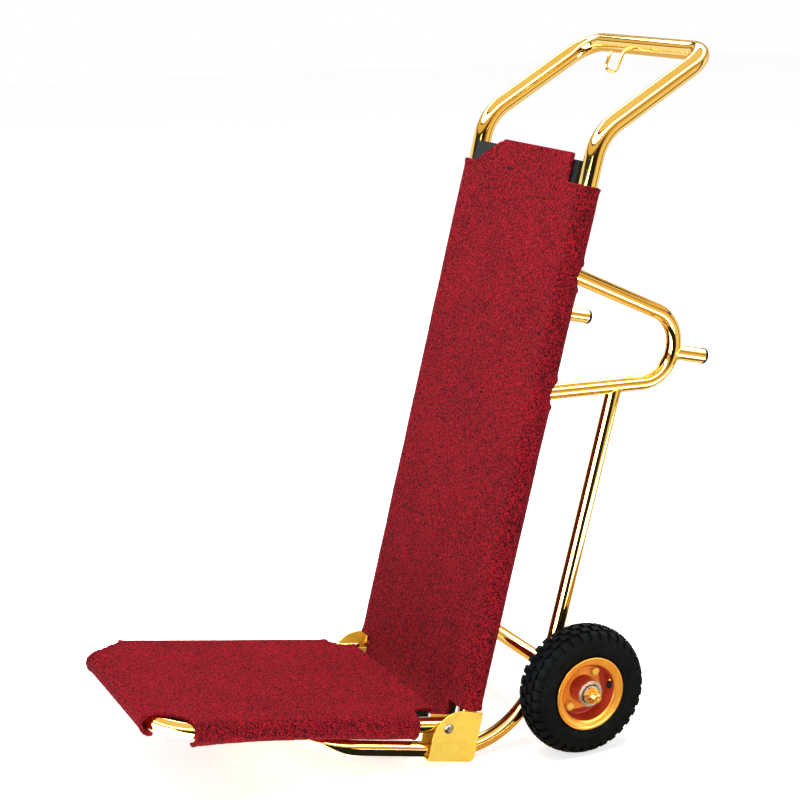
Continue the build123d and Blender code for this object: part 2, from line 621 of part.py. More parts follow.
def hub_plate_shape(split):
    """Plate welded on the hub against a rim half: a round middle and two ears for the bolts."""
    middle = Circle(HUB_PLATE_RADIUS)
    ears = [Pos(y, z) * Circle(HUB_PLATE_EAR) for y, z in rim_bolt_places()]
    outline = make_hull((middle + ears[0] + ears[1]).edges())
    plate = extrude(Plane.YZ * outline, HUB_PLATE)
    return Pos(split + RIM_SHEET, 0, 0) * plate - rim_bolt_bars() - bar_x(-40, 40, 0, 0, HUB_DIAMETER)


def hub_shape():
    outer = bar_x(-HUB_HALF, HUB_HALF, 0, 0, HUB_DIAMETER)
    seats = [bar_x(s * HUB_HALF, s * (HUB_HALF - BEARING_WIDTH), 0, 0, BEARING_DIAMETER) for s in (1, -1)]
    return outer - seats[0] - seats[1] - bar_x(-50, 50, 0, 0, BEARING_DIAMETER - 5)


def bearing_shape(side):
    outer = bar_x(side * HUB_HALF, side * (HUB_HALF - BEARING_WIDTH), 0, 0, BEARING_DIAMETER)
    groove = Pos(side * HUB_HALF, 0, 0) * (
        bar_x(-0.8, 0.8, 0, 0, BEARING_DIAMETER - 6) - bar_x(-2, 2, 0, 0, AXLE_DIAMETER + 6))
    return outer - groove - bar_x(-50, 50, 0, 0, AXLE_DIAMETER + 2 * RUNNING_FIT)


def bearing_spacer_shape():
    length = HUB_HALF - BEARING_WIDTH
    return bar_x(-length, length, 0, 0, 23) - bar_x(-50, 50, 0, 0, AXLE_DIAMETER + 0.3)


def rim_bolt_shapes():
    """Bolts from the outside and nuts on the inside, clamping both webs and both plates."""
    outer_face = RIM_SPLIT + RIM_SHEET + HUB_PLATE
    inner_face = RIM_SPLIT - RIM_SHEET - HUB_PLATE
    bolts = []
    nuts = []
    for y, z in rim_bolt_places():
        shank = bar_x(inner_face - 8, outer_face, 0, 0, RIM_BOLT)
        head = chamfer((hexagon_x(outer_face, outer_face + 5.3, 13).faces() >> Axis.X).edges(), 0.8)
        nut = hexagon_x(inner_face - 6.5, inner_face, 13) - bar_x(-30, 0, 0, 0, RIM_BOLT)
        bolts.append(Pos(0, y, z) * (shank + head))
        nuts.append(Pos(0, y, z) * nut)
    return bolts, nuts


def valve_shapes():
    """Valve stem that leaves the rim's barrel and leans outwards, with its cap."""
    foot = RIM_SEAT - RIM_SHEET - 0.4
    tip_x, tip_r = 26.0, 38.5
    foot_x = 13.0
    run = hypot(tip_x - foot_x, foot - tip_r)
    tilt = degrees(atan2(tip_x - foot_x, foot - tip_r))
    turn = Rot(VALVE_ANGLE - 90, 0, 0)
    seat = Pos(foot_x, 0, foot) * Rot(0, 180 - tilt, 0)
    low = (Align.CENTER, Align.CENTER, Align.MIN)
    stem = Cylinder(3.4, run - 4, align=low) + Cylinder(5.5, 2.5, align=low)
    cap = Pos(0, 0, run - 9) * Cylinder(4.6, 12, align=low)
    cap = fillet((cap.edges() | GeomType.CIRCLE).sort_by(Axis.Z)[-1:], 1.5)
    cap -= Pos(0, 0, run - 10) * Cylinder(3.4, 6, align=low)
    barrel = bar_x(-40, 40, 0, 0, 2 * (RIM_SEAT - RIM_SHEET - 0.3))
    stem = turn * seat * stem
    return stem & barrel, turn * seat * cap


def wheel_parts():
    """All pieces of the left wheel, centred on the origin."""
    outer_half = rim_half_shape(RIM_SPLIT)
    bolts, nuts = rim_bolt_shapes()
    stem, cap = valve_shapes()
    return {
        "tyre": [tyre_shape()],
        "inner_tube": [inner_tube_shape()],
        "rim_outer": [outer_half - stem],
        "rim_inner": [mirror(rim_half_shape(-RIM_SPLIT), Plane.YZ)],
        "hub": [hub_shape()],
        "hub_plates": [hub_plate_shape(RIM_SPLIT), mirror(hub_plate_shape(-RIM_SPLIT), Plane.YZ)],
        "wheel_bearings": [bearing_shape(1), bearing_shape(-1)],
        "bearing_spacer": [bearing_spacer_shape()],
        "rim_bolts": bolts,
        "rim_nuts": nuts,
        "valve_stem": [stem],
        "valve_cap": [cap],
    }


for name, shapes in wheel_parts().items():
    place = Pos(WHEEL_X, WHEEL_Y, WHEEL_Z)
    add(name + "_left", *[place * shape for shape in shapes])
    add(name + "_right", *[mirror(place * shape, Plane.YZ) for shape in shapes])

# --- Stand the cart on its wheels and heels, with the origin under its middle ------------------------

leaned = {name: Rot(-REST_LEAN, 0, 0) * shape for name, shape in PARTS.items()}
boxes = [shape.bounding_box() for shape in leaned.values()]
front_y = min(box.min.Y for box in boxes)
rear_y = max(box.max.Y for box in boxes)
stand = Pos(0, -(front_y + rear_y) / 2, heel_drop)

os.makedirs("parts", exist_ok=True)
for name, shape in leaned.items():
    export_step(stand * shape, "parts/" + name + ".step")


def standing(y, z):
    """Where a (y, z) place of the square drawing ends up on the standing cart."""
    point = stand * Rot(-REST_LEAN, 0, 0) * Pos(0, y, z)
    return tuple(round(value, 4) for value in point.position)


print("pivot", standing(*PIVOT))
print("wheel centre", standing(WHEEL_Y, WHEEL_Z))
print("shift", round(-(front_y + rear_y) / 2, 4), round(heel_drop, 4))
print("nodes", len(PARTS))
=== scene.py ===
import json
from math import asin, atan2, ceil, cos, degrees, hypot, pi, radians, sin, sqrt, tan, tau

import bpy
import numpy as np
from mathutils import Matrix, Vector, noise


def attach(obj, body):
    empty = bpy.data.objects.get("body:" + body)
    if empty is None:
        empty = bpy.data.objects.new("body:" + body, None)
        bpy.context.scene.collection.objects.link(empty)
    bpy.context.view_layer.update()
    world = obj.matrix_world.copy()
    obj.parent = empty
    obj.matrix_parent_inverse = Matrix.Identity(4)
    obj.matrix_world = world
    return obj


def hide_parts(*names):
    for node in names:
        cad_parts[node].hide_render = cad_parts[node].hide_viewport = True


# Looks of the folding luggage cart. Shapes are drawn in millimetres in the same square drawing as the
# CAD parts (floor run of the base tube level, z = 0 under it) and are placed by the matrices below.

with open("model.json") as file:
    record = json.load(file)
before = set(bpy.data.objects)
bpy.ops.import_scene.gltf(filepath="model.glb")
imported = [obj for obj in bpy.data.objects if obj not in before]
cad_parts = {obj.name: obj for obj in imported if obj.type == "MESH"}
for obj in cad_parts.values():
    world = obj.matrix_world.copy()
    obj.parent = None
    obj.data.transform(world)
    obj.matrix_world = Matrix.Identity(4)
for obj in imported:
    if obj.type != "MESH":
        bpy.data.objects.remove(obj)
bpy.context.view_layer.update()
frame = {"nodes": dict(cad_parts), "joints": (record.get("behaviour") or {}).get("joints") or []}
JOINTS = {joint["name"]: joint for joint in frame["joints"]}

SIDES = {"left": 1, "right": -1}    # +X is the cart's left

# --- Driving dimensions, in millimetres -----------------------------------------------------------

# The sizes that the CAD parts are drawn from, with the same names where they stand for the same thing.
# Pairs are (y, z) in the square drawing, names that end in R are radii.
REST_LEAN = 12.8          # degrees
SIDE_X = 184.0            # middle plane of each side of the frame
MAIN_R = 31.75 / 2
SMALL_R = 25.4 / 2
TUBE_WALL = 1.6
UPRIGHT_FOOT_Y = 95.4
ARM_START = (119.9, 1045.4)
HANDLE = (296.4, 1209.5)
ARM_BEND = 85.0
HANDLE_BEND = 48.0
BASE_FRONT_Y = -175.0
BASE_CORNER_BEND = 80.0
ROCKER_TURN = (152.4, SMALL_R)
ROCKER_BEND = 150.0
STRUT_FOOT = (234.5, 142.3)
STRUT_BEND = 190.0
STRUT_TOP = (249.2, 655.0)
LOOP_TOP = (176.2, 809.3)
LOOP_TOP_SLOPE = -0.214
LOOP_LOW = (184.3, 638.0)
LOOP_LOW_SLOPE = 0.200
LOOP_REAR_Y = 348.0
LOOP_BEND = 61.0
PEG_Z = 719.5
PEG_TIP_Y = 415.0
PEG_CAP = 6.0
HOOK_X = -28.0
HOOK_WIRE_R = 2.75
PLATE = 2.2
BRACKET_GAP = 32.8
PIVOT = (57.0, 55.6)
PLATFORM_SLOPE = 2.7
PLATFORM_LENGTH = 496.0
PLATFORM_CORNER = 80.0
PLATFORM_TAIL = 13.0
CARPET = 5.5
CARPET_GAP = 0.15
BOARD = 9.0
BACK_FOOT = 88.0
BACK_HEM = 45.0
BACK_SHOULDER = 961.0
BACK_TOP = 1008.0
MIDDLE_HALF = 158.0
PLATFORM_WRAP_START = 52.0
PLATFORM_REAR = 8.0
FLAP_FOOT_X = 118.0
FLAP_STRIP = 20.0
TYRE_R = 111.0
TYRE_HALF = 32.0
RIM_SEAT = 50.8
RIM_FLANGE = 63.0
RIM_HALF = 30.5
RIM_SPLIT = -4.5
RIM_SHEET = 2.0
HUB_R = 44.5 / 2
HUB_HALF = 30.0
BEARING_R = 20.0
BEARING_WIDTH = 12.0
RACE_OUTER = 16.6         # inside of the outer race
RACE_INNER = 11.6         # outside of the inner race
AXLE_R = 8.5
THREAD_R = 8.0
NUT_ACROSS = 24.0
NUT_CROWN = 21.0
WASHER_R = 15.0
AXLE_END = 54.0
PLATE_R = 36.0            # hub plate: its round middle, its ears' radius and its sheet
PLATE_EAR = 8.5
PLATE_SHEET = 3.0
BOLT_CIRCLE = 36.0
BOLT_ANGLE = 61.0
BOLTS = [(side * BOLT_CIRCLE * cos(radians(BOLT_ANGLE)), side * BOLT_CIRCLE * sin(radians(BOLT_ANGLE)))
         for side in (1, -1)]
VALVE_ANGLE = 22.0        # above the rear
UPRIGHT_LEAN = degrees(atan2(ARM_START[0] - UPRIGHT_FOOT_Y, ARM_START[1]))

# --- Places ---------------------------------------------------------------------------------------


def turn(degrees_, axis):
    return Matrix.Rotation(radians(degrees_), 4, axis)


def shift(x, y, z):
    return Matrix.Translation((x, y, z))


FOLD_AT = shift(*JOINTS["platform_fold"]["pos_m"])
LEANED = turn(-REST_LEAN, "X") @ Matrix.Scale(0.001, 4)
STAND = FOLD_AT @ LEANED @ shift(0, -PIVOT[0], -PIVOT[1])
UPRIGHT = STAND @ shift(0, UPRIGHT_FOOT_Y, 0) @ turn(-UPRIGHT_LEAN, "X")
PLATFORM = FOLD_AT @ LEANED @ turn(PLATFORM_SLOPE, "X") @ turn(180, "Z")
LEFT_WHEEL = shift(*JOINTS["wheel_left_spin"]["pos_m"]) @ LEANED
MIRROR_X = Matrix.Diagonal((-1, 1, 1, 1))
WHEELS = {"left": LEFT_WHEEL, "right": MIRROR_X @ LEFT_WHEEL}
WHEEL_IN_STAND = STAND.inverted() @ Vector(JOINTS["wheel_left_spin"]["pos_m"])
WHEEL_X, WHEEL_Y, WHEEL_Z = WHEEL_IN_STAND

# --- Materials ------------------------------------------------------------------------------------


class Nodes:
    """A node tree, with short calls that add nodes to it and link them."""

    def __init__(self, tree):
        self.tree = tree

    def node(self, kind, inputs=(), **settings):
        made = self.tree.nodes.new(kind)
        for name, value in settings.items():
            setattr(made, name, value)
        for name, value in dict(inputs).items():
            if isinstance(value, bpy.types.NodeSocket):
                self.tree.links.new(value, made.inputs[name])
            else:
                made.inputs[name].default_value = value
        return made

    def ramp(self, factor, stops):
        """Colours along a factor; stops are (position, (r, g, b)) or (position, grey)."""
        made = self.node("ShaderNodeValToRGB", {"Fac": factor})
        elements = made.color_ramp.elements
        while len(elements) < len(stops):
            elements.new(0.5)
        for element, (position, value) in zip(elements, stops):
            element.position = position
            element.color = (*value, 1) if isinstance(value, tuple) else (value, value, value, 1)
        return made.outputs["Color"]

    def mix(self, factor, first, second):
        return self.node("ShaderNodeMix", {0: factor, 6: first, 7: second}, data_type="RGBA").outputs[2]

    def math(self, operation, first, second=0.0, third=0.0):
        return self.node("ShaderNodeMath", {0: first, 1: second, 2: third}, operation=operation).outputs[0]

    def bearing(self, place):
        """A place's bearing from the +X axis as a share of a full turn: 0.5 at +X, 0.75 at +Y."""
        split = self.node("ShaderNodeSeparateXYZ", {"Vector": place})
        turned = self.math("ARCTAN2", split.outputs["Y"], split.outputs["X"])
        return self.math("MULTIPLY_ADD", turned, 1 / tau, 0.5)


class Finish(Nodes):
    """A procedural material: a Principled shader with nodes in front of it."""

    def __init__(self, name, colour, roughness, metallic=0.0, constants=()):
        self.material = bpy.data.materials.new(name)
        self.material.use_nodes = True
        super().__init__(self.material.node_tree)
        self.shader = self.tree.nodes["Principled BSDF"]
        self.place = self.node("ShaderNodeTexCoord").outputs["Object"]
        values = {"Base Color": (*colour, 1), "Roughness": roughness, "Metallic": metallic}
        for socket, value in (values | dict(constants)).items():
            self.shader.inputs[socket].default_value = value

    def noise(self, scale, detail=3.0, roughness=0.55, stretch=None):
        place = self.place
        if stretch:
            place = self.node("ShaderNodeMapping", {"Vector": place, "Scale": stretch}).outputs[0]
        return self.node("ShaderNodeTexNoise", {
            "Vector": place, "Scale": scale, "Detail": detail, "Roughness": roughness}).outputs["Fac"]

    def cells(self, scale):
        return self.node("ShaderNodeTexVoronoi", {"Vector": self.place, "Scale": scale}).outputs["Distance"]

    def spread(self, factor, low, high):
        """A factor of 0 to 1 spread over low to high."""
        return self.node("ShaderNodeMapRange", {"Value": factor, "To Min": low, "To Max": high}).outputs[0]

    def paint(self, **sockets):
        for name, value in sockets.items():
            self.tree.links.new(value, self.shader.inputs[name.replace("_", " ")])

    def bump(self, height, strength, distance):
        made = self.node("ShaderNodeBump", {"Height": height, "Strength": strength, "Distance": distance})
        self.tree.links.new(made.outputs[0], self.shader.inputs["Normal"])


def polished_gold():
    """Lacquered brass plate, polished to a mirror, with faint clouding and hairline rub marks."""
    finish = Finish("polished_gold", (1.0, 0.68, 0.17), 0.05, 1.0)
    cloud = finish.noise(9.0, 4)
    rub = finish.noise(260.0, 2, stretch=(1, 1, 0.06))
    finish.paint(
        Base_Color=finish.ramp(cloud, [(0.30, (1.0, 0.66, 0.175)), (0.55, (1.0, 0.71, 0.225)),
                                       (0.75, (1.0, 0.75, 0.275))]),
        Roughness=finish.spread(finish.math("MULTIPLY", cloud, rub), 0.02, 0.13))
    finish.bump(finish.noise(55.0, 2), 0.03, 0.0004)
    return finish.material


def satin_gold():
    """Brass-coloured plate with a fine speckle and slightly darker scuffs."""
    finish = Finish("satin_gold", (0.95, 0.66, 0.12), 0.42, 0.35, {"Specular IOR Level": 0.3})
    speckle = finish.cells(900.0)
    scuff = finish.noise(38.0, 5, 0.65)
    colour = finish.ramp(speckle, [(0.05, (0.55, 0.30, 0.030)), (0.22, (0.90, 0.60, 0.075)),
                                   (0.60, (0.98, 0.69, 0.105))])
    colour = finish.mix(finish.ramp(scuff, [(0.50, (0, 0, 0)), (0.72, (1, 1, 1))]), colour,
                        (0.86, 0.52, 0.075, 1))
    finish.paint(Base_Color=colour, Roughness=finish.spread(scuff, 0.28, 0.50))
    finish.bump(finish.noise(700.0, 3), 0.25, 0.0003)
    return finish.material


def rim_gold():
    """Gold-coloured lacquer over pressed steel, brushed round the wheel by its polishing."""
    finish = Finish("rim_gold", (0.95, 0.46, 0.07), 0.3, 0.75,
                    {"Coat Weight": 0.2, "Coat Roughness": 0.15})
    cloud = finish.noise(30.0, 4)
    finish.paint(
        Base_Color=finish.ramp(cloud, [(0.30, (0.90, 0.38, 0.040)), (0.60, (0.96, 0.46, 0.065)),
                                       (0.80, (1.0, 0.55, 0.11))]),
        Roughness=finish.spread(finish.noise(210.0, 2), 0.26, 0.38))
    finish.bump(finish.noise(420.0, 2), 0.03, 0.0003)
    return finish.material


def rim_painted_reflection():
    """The deep inner faces of the wheel and the hub shell: the same lacquer, redder, with a painted
    reflection of the dark surround and the red carpet in its colour.
    """
    finish = Finish("rim_painted_reflection", (0.40, 0.050, 0.022), 0.45, 0.25,
                    {"Coat Weight": 0.1, "Coat Roughness": 0.3, "Specular IOR Level": 0.2})
    cloud = finish.noise(45.0, 4)
    finish.paint(
        Base_Color=finish.ramp(cloud, [(0.30, (0.46, 0.055, 0.028)), (0.70, (0.60, 0.085, 0.040))]),
        Roughness=finish.spread(finish.noise(300.0, 2), 0.28, 0.46))
    finish.bump(finish.noise(500.0, 2), 0.08, 0.0003)
    return finish.material


def plate_gold():
    """The hub's discs: a satin orange gold, a shade redder than the rim."""
    finish = Finish("plate_gold", (0.80, 0.27, 0.030), 0.42, 0.35,
                    {"Coat Weight": 0.15, "Coat Roughness": 0.25, "Specular IOR Level": 0.3})
    cloud = finish.noise(60.0, 4)
    finish.paint(
        Base_Color=finish.ramp(cloud, [(0.30, (0.90, 0.300, 0.030)), (0.70, (1.00, 0.400, 0.055))]),
        Roughness=finish.spread(finish.noise(320.0, 2), 0.34, 0.5))
    finish.bump(finish.noise(600.0, 2), 0.08, 0.0002)
    return finish.material


def nut_gold():
    """Zinc plate passivated to orange gold, duller in the corners."""
    finish = Finish("nut_gold", (0.90, 0.40, 0.06), 0.25, 1.0)
    cloud = finish.noise(160.0, 4)
    finish.paint(
        Base_Color=finish.ramp(cloud, [(0.32, (0.70, 0.24, 0.04)), (0.52, (0.95, 0.45, 0.07)),
                                       (0.75, (1.0, 0.62, 0.18))]),
        Roughness=finish.spread(cloud, 0.16, 0.42))
    finish.bump(finish.noise(900.0, 2), 0.15, 0.0002)
    return finish.material


def red_carpet():
    """Short needled pile: bright and deep red fibres with dark ones among them, and worn patches."""
    finish = Finish("red_carpet", (0.30, 0.012, 0.022), 0.95, 0.0,
                    {"Sheen Weight": 0.05, "Sheen Roughness": 0.5, "Sheen Tint": (1.0, 0.2, 0.24, 1),
                     "Specular IOR Level": 0.03})
    speckle = finish.noise(330.0, 2.0, 0.7)
    grain = finish.noise(760.0, 2.0, 0.7)
    patch = finish.noise(11.0, 4, 0.6)
    level = finish.math("MULTIPLY_ADD", grain, 0.45, finish.math("MULTIPLY", speckle, 0.60))
    level = finish.math("MULTIPLY_ADD", patch, 0.06, level)
    colour = finish.ramp(level, [(0.480, (0.010, 0.0040, 0.0045)), (0.530, (0.060, 0.0060, 0.0095)),
                                 (0.575, (0.250, 0.0085, 0.0150)), (0.66, (0.400, 0.0110, 0.0200))])
    finish.paint(Base_Color=colour)
    finish.bump(level, 0.9, 0.0020)
    return finish.material


def black_board():
    """Black laminate with a fine orange-peel surface and grey dust."""
    finish = Finish("black_board", (0.006, 0.008, 0.009), 0.42, 0.0, {"Specular IOR Level": 0.2})
    dust = finish.noise(22.0, 5, 0.6)
    finish.paint(
        Base_Color=finish.ramp(dust, [(0.35, (0.004, 0.006, 0.0065)), (0.75, (0.012, 0.016, 0.018))]),
        Roughness=finish.spread(dust, 0.32, 0.56))
    finish.bump(finish.noise(650.0, 2), 0.3, 0.0003)
    return finish.material


def black_rubber():
    """Moulded cap rubber: matt black with a slight bloom."""
    finish = Finish("black_rubber", (0.006, 0.006, 0.007), 0.5, 0.0, {"Specular IOR Level": 0.2})
    bloom = finish.noise(90.0, 4)
    finish.paint(
        Base_Color=finish.ramp(bloom, [(0.35, (0.003, 0.003, 0.0035)), (0.75, (0.012, 0.012, 0.013))]),
        Roughness=finish.spread(bloom, 0.42, 0.68))
    finish.bump(finish.noise(1200.0, 2), 0.25, 0.0002)
    return finish.material


def tyre_rubber():
    """Blue-black tyre rubber, greyer where it is scuffed."""
    finish = Finish("tyre_rubber", (0.005, 0.007, 0.009), 0.5, 0.0, {"Specular IOR Level": 0.08})
    scuff = finish.noise(48.0, 5, 0.65)
    grain = finish.noise(520.0, 3, 0.6)
    colour = finish.ramp(scuff, [(0.35, (0.0012, 0.0018, 0.0023)), (0.60, (0.0028, 0.0040, 0.0050)),
                                 (0.80, (0.0110, 0.0140, 0.0160))])
    finish.paint(Base_Color=colour, Roughness=finish.spread(grain, 0.45, 0.80))
    finish.bump(finish.math("ADD", grain, finish.math("MULTIPLY", scuff, 0.5)), 0.30, 0.0005)
    return finish.material


def bright_steel():
    """Plain ground steel with turning marks."""
    finish = Finish("bright_steel", (0.62, 0.61, 0.60), 0.24, 1.0)
    marks = finish.noise(700.0, 2, stretch=(1, 0.08, 0.08))
    finish.paint(
        Base_Color=finish.ramp(marks, [(0.30, (0.42, 0.41, 0.41)), (0.70, (0.72, 0.71, 0.69))]),
        Roughness=finish.spread(marks, 0.16, 0.40))
    finish.bump(marks, 0.1, 0.0002)
    return finish.material


MATERIALS = {make.__name__: make() for make in (
    polished_gold, satin_gold, rim_gold, rim_painted_reflection, plate_gold, nut_gold, red_carpet, black_board,
    black_rubber, tyre_rubber, bright_steel)}

# --- Mesh helpers ---------------------------------------------------------------------------------


def piece(name, mesh_data, place, material, body, stands_for=(), smooth=38.0):
    """Make one visible piece from (points, faces) in millimetres and hang it on its body."""
    points, faces = mesh_data
    mesh = bpy.data.meshes.new(name)
    mesh.from_pydata([tuple(point) for point in points], [], [tuple(face) for face in faces])
    mesh.transform(place)
    if place.determinant() < 0:
        mesh.flip_normals()
    mesh.polygons.foreach_set("use_smooth", [True] * len(mesh.polygons))
    mesh.set_sharp_from_angle(angle=radians(smooth))
    mesh.materials.append(MATERIALS[material])
    mesh.update()
    made = bpy.data.objects.new(name, mesh)
    bpy.context.scene.collection.objects.link(made)
    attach(made, body)
    if stands_for:
        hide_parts(*stands_for)
    return made


def joined(*meshes):
    points = []
    faces = []
    for more_points, more_faces in meshes:
        start = len(points)
        points += [tuple(point) for point in more_points]
        faces += [tuple(index + start for index in face) for face in more_faces]
    return points, faces


def moved(mesh_data, matrix):
    points, faces = mesh_data
    points = [matrix @ Vector(point) for point in points]
    if matrix.determinant() < 0:
        faces = [tuple(reversed(face)) for face in faces]
    return points, faces


def rounded_path(points, bends, arc_step=4.0, run_step=45.0):
    """Points along straight runs and the tangent arcs between them."""
    corners = [Vector(point) for point in points]
    path = [corners[0]]
    for index in range(1, len(corners)):
        end = corners[index]
        arc = []
        if index < len(corners) - 1 and bends:
            before = (corners[index - 1] - end).normalized()
            after = (corners[index + 1] - end).normalized()
            half = before.angle(after) / 2
            radius = bends[index - 1]
            start = end + before * (radius / tan(half))
            centre = end + (before + after).normalized() * (radius / sin(half))
            spoke = start - centre
            axis = (-before).cross(after).normalized()
            sweep = pi - 2 * half
            count = max(4, ceil(degrees(sweep) / arc_step))
            arc = [centre + Matrix.Rotation(sweep * k / count, 3, axis) @ spoke for k in range(count + 1)]
            end = arc[0]
        run = end - path[-1]
        pieces = max(1, ceil(run.length / run_step))
        path += [path[-1] + run * (k / pieces) for k in range(1, pieces + 1)]
        path += arc[1:]
    return path


def path_rings(path, radius, sides, closed=False):
    """Rings of points round a path, turned as little as possible from one to the next."""
    count = len(path)
    rings = []
    across = None
    for index, centre in enumerate(path):
        before = path[index - 1] if (index or closed) else centre
        after = path[(index + 1) % count] if (index < count - 1 or closed) else centre
        along = (after - before).normalized()
        if across is None:
            across = along.orthogonal().normalized()
        across = (across - along * across.dot(along)).normalized()
        up = along.cross(across)
        size = radius(index) if callable(radius) else radius
        rings.append([centre + (across * cos(tau * k / sides) + up * sin(tau * k / sides)) * size
                      for k in range(sides)])
    return rings


def ring_faces(ring_count, sides, closed=False, inward=False):
    faces = []
    for ring in range(ring_count if closed else ring_count - 1):
        low = ring * sides
        high = (ring + 1) % ring_count * sides
        for near in range(sides):
            far = (near + 1) % sides
            face = (low + near, low + far, high + far, high + near)
            faces.append(face[::-1] if inward else face)
    return faces


def skin(rings, closed=False, inward=False, ends=False):
    """A surface through rings of equally many points, with or without its two ends."""
    sides = len(rings[0])
    points = [point for ring in rings for point in ring]
    faces = ring_faces(len(rings), sides, closed, inward)
    if ends:
        faces.append(tuple(reversed(range(sides))))
        faces.append(tuple(range(len(points) - sides, len(points))))
    return points, faces


def circle(x, radius, sides):
    """Points on a circle about X."""
    return [(x, radius * cos(tau * k / sides), radius * sin(tau * k / sides)) for k in range(sides)]


def distance_to_path(points, path):
    """Distance from each point to a line through the path's points."""
    start = np.array(path[:-1], float)
    step = np.array(path[1:], float) - start
    points = np.asarray(points, float)[:, None, :]
    share = np.clip(((points - start) * step).sum(2) / (step * step).sum(1), 0, 1)
    nearest = start + share[..., None] * step
    return np.sqrt(((points - nearest) ** 2).sum(2)).min(1)


def coped(ring, along, path, radius):
    """Slide the ring's points along a direction until they lie on the tube round another path."""
    points = np.array(ring, float)
    along = np.array(along, float)
    low = np.full(len(points), -30.0)
    high = np.zeros(len(points))
    for _ in range(32):
        middle = (low + high) / 2
        outside = distance_to_path(points + middle[:, None] * along, path) > radius
        low = np.where(outside, middle, low)
        high = np.where(outside, high, middle)
    return [Vector(point) for point in points + low[:, None] * along]


def hollow_tube(points, bends, radius, sides=64, start_cope=None, end_cope=None):
    """An open tube with its bore, and the outer rings at its two ends; a cope is (path, radius) of the
    tube that the end is welded to."""
    path = rounded_path(points, bends)
    meshes = []
    ends = []
    for size, inward in ((radius, False), (radius - TUBE_WALL, True)):
        rings = path_rings(path, size, sides)
        for index, cope, ahead in ((0, start_cope, path[0] - path[1]), (-1, end_cope, path[-1] - path[-2])):
            if cope:
                rings[index] = coped(rings[index], ahead.normalized(), *cope)
        meshes.append(skin(rings, inward=inward))
        ends.append((rings[0], rings[-1]))
    points, faces = joined(*meshes)
    bore = len(meshes[0][0])
    last = bore - sides
    for near in range(sides):
        far = (near + 1) % sides
        faces.append((near, bore + near, bore + far, far))
        faces.append((last + near, last + far, bore + last + far, bore + last + near))
    return (points, faces), ends[0]


def weld_bead(ring, radius=1.9, ripples=34, sides=10):
    """A rippled weld along a closed line."""
    path = [Vector(point) for point in ring]

    def size(index):
        ripple = sin(tau * ripples * index / len(path))
        return radius * (1 + 0.10 * ripple + 0.12 * noise.noise(path[index] * 0.11))

    rings = path_rings(path, size, sides, closed=True)
    # the last ring may be turned against the first, so that turn is spread over all of them
    mismatch = min(range(sides), key=lambda k: (rings[-1][k] - rings[0][0]).length)
    twist = mismatch if mismatch <= sides / 2 else mismatch - sides
    aligned = []
    for index, points in enumerate(rings):
        turned = twist * index / (len(rings) - 1)
        whole = int(turned // 1)
        aligned.append([points[(k + whole) % sides].lerp(points[(k + whole + 1) % sides], turned - whole)
                        for k in range(sides)])
    return skin(aligned, closed=True)


def rod(points, bends, radius):
    """A solid round wire with domed ends."""
    sides = 20
    path = rounded_path(points, bends, arc_step=6.0, run_step=12.0)
    rings = path_rings(path, radius, sides)
    for end, ahead in ((0, path[0] - path[1]), (-1, path[-1] - path[-2])):
        centre = path[end]
        ahead = ahead.normalized()
        caps = [[centre + (p - centre) * cos(a) + ahead * radius * sin(a) for p in rings[end]]
                for a in (0.45, 0.9, 1.3)]
        rings = caps[::-1] + rings if end == 0 else rings + caps
    return skin(rings, ends=True)


def softened(profile, radius, closed):
    """Round the corners of a 2-D outline by up to radius; corners on the axis stay sharp."""
    count = len(profile)
    rounded = []
    for index, (x, r) in enumerate(profile):
        at_end = not closed and index in (0, count - 1)
        if at_end or r < 1e-6:
            rounded.append((x, r))
            continue
        before = Vector(profile[index - 1]) - Vector((x, r))
        after = Vector(profile[(index + 1) % count]) - Vector((x, r))
        if abs(before.angle(after) - pi) < 0.05:
            rounded.append((x, r))
            continue
        cut = min(radius, before.length * 0.45, after.length * 0.45)
        corner = Vector((x, r))
        start = corner + before.normalized() * cut
        end = corner + after.normalized() * cut
        for t in (0, 1 / 3, 2 / 3, 1):
            rounded.append(tuple(start * (1 - t) ** 2 + corner * 2 * t * (1 - t) + end * t ** 2))
    return rounded


def lathed(profile, sides=72, edge=0.4, closed=True):
    """A turned piece about X from its (x, radius) outline."""
    outline = softened(profile, edge, closed)
    area = sum(a[0] * b[1] - b[0] * a[1] for a, b in zip(outline, outline[1:] + outline[:1]))
    if area > 0:
        outline = outline[::-1]
    points = []
    rows = []
    for x, r in outline:
        if r < 1e-6:
            rows.append([len(points)] * sides)
            points.append((x, 0, 0))
        else:
            rows.append(list(range(len(points), len(points) + sides)))
            points += circle(x, r, sides)
    faces = []
    spans = len(rows) if closed else len(rows) - 1
    for index in range(spans):
        low, high = rows[index], rows[(index + 1) % len(rows)]
        for k in range(sides):
            far = (k + 1) % sides
            corners = [low[k], low[far], high[far], high[k]]
            face = tuple(dict.fromkeys(corners))
            if len(face) > 2:
                faces.append(face)
    return points, faces


def hex_spokes(flat, limit, sides):
    """(angle, radius, angle off the nearest flat's middle) round a hexagon, its corners turned down."""
    for k in range(sides):
        angle = tau * k / sides
        off = (angle + pi / 6) % (pi / 3) - pi / 6
        yield angle, min(flat / cos(off), limit), off


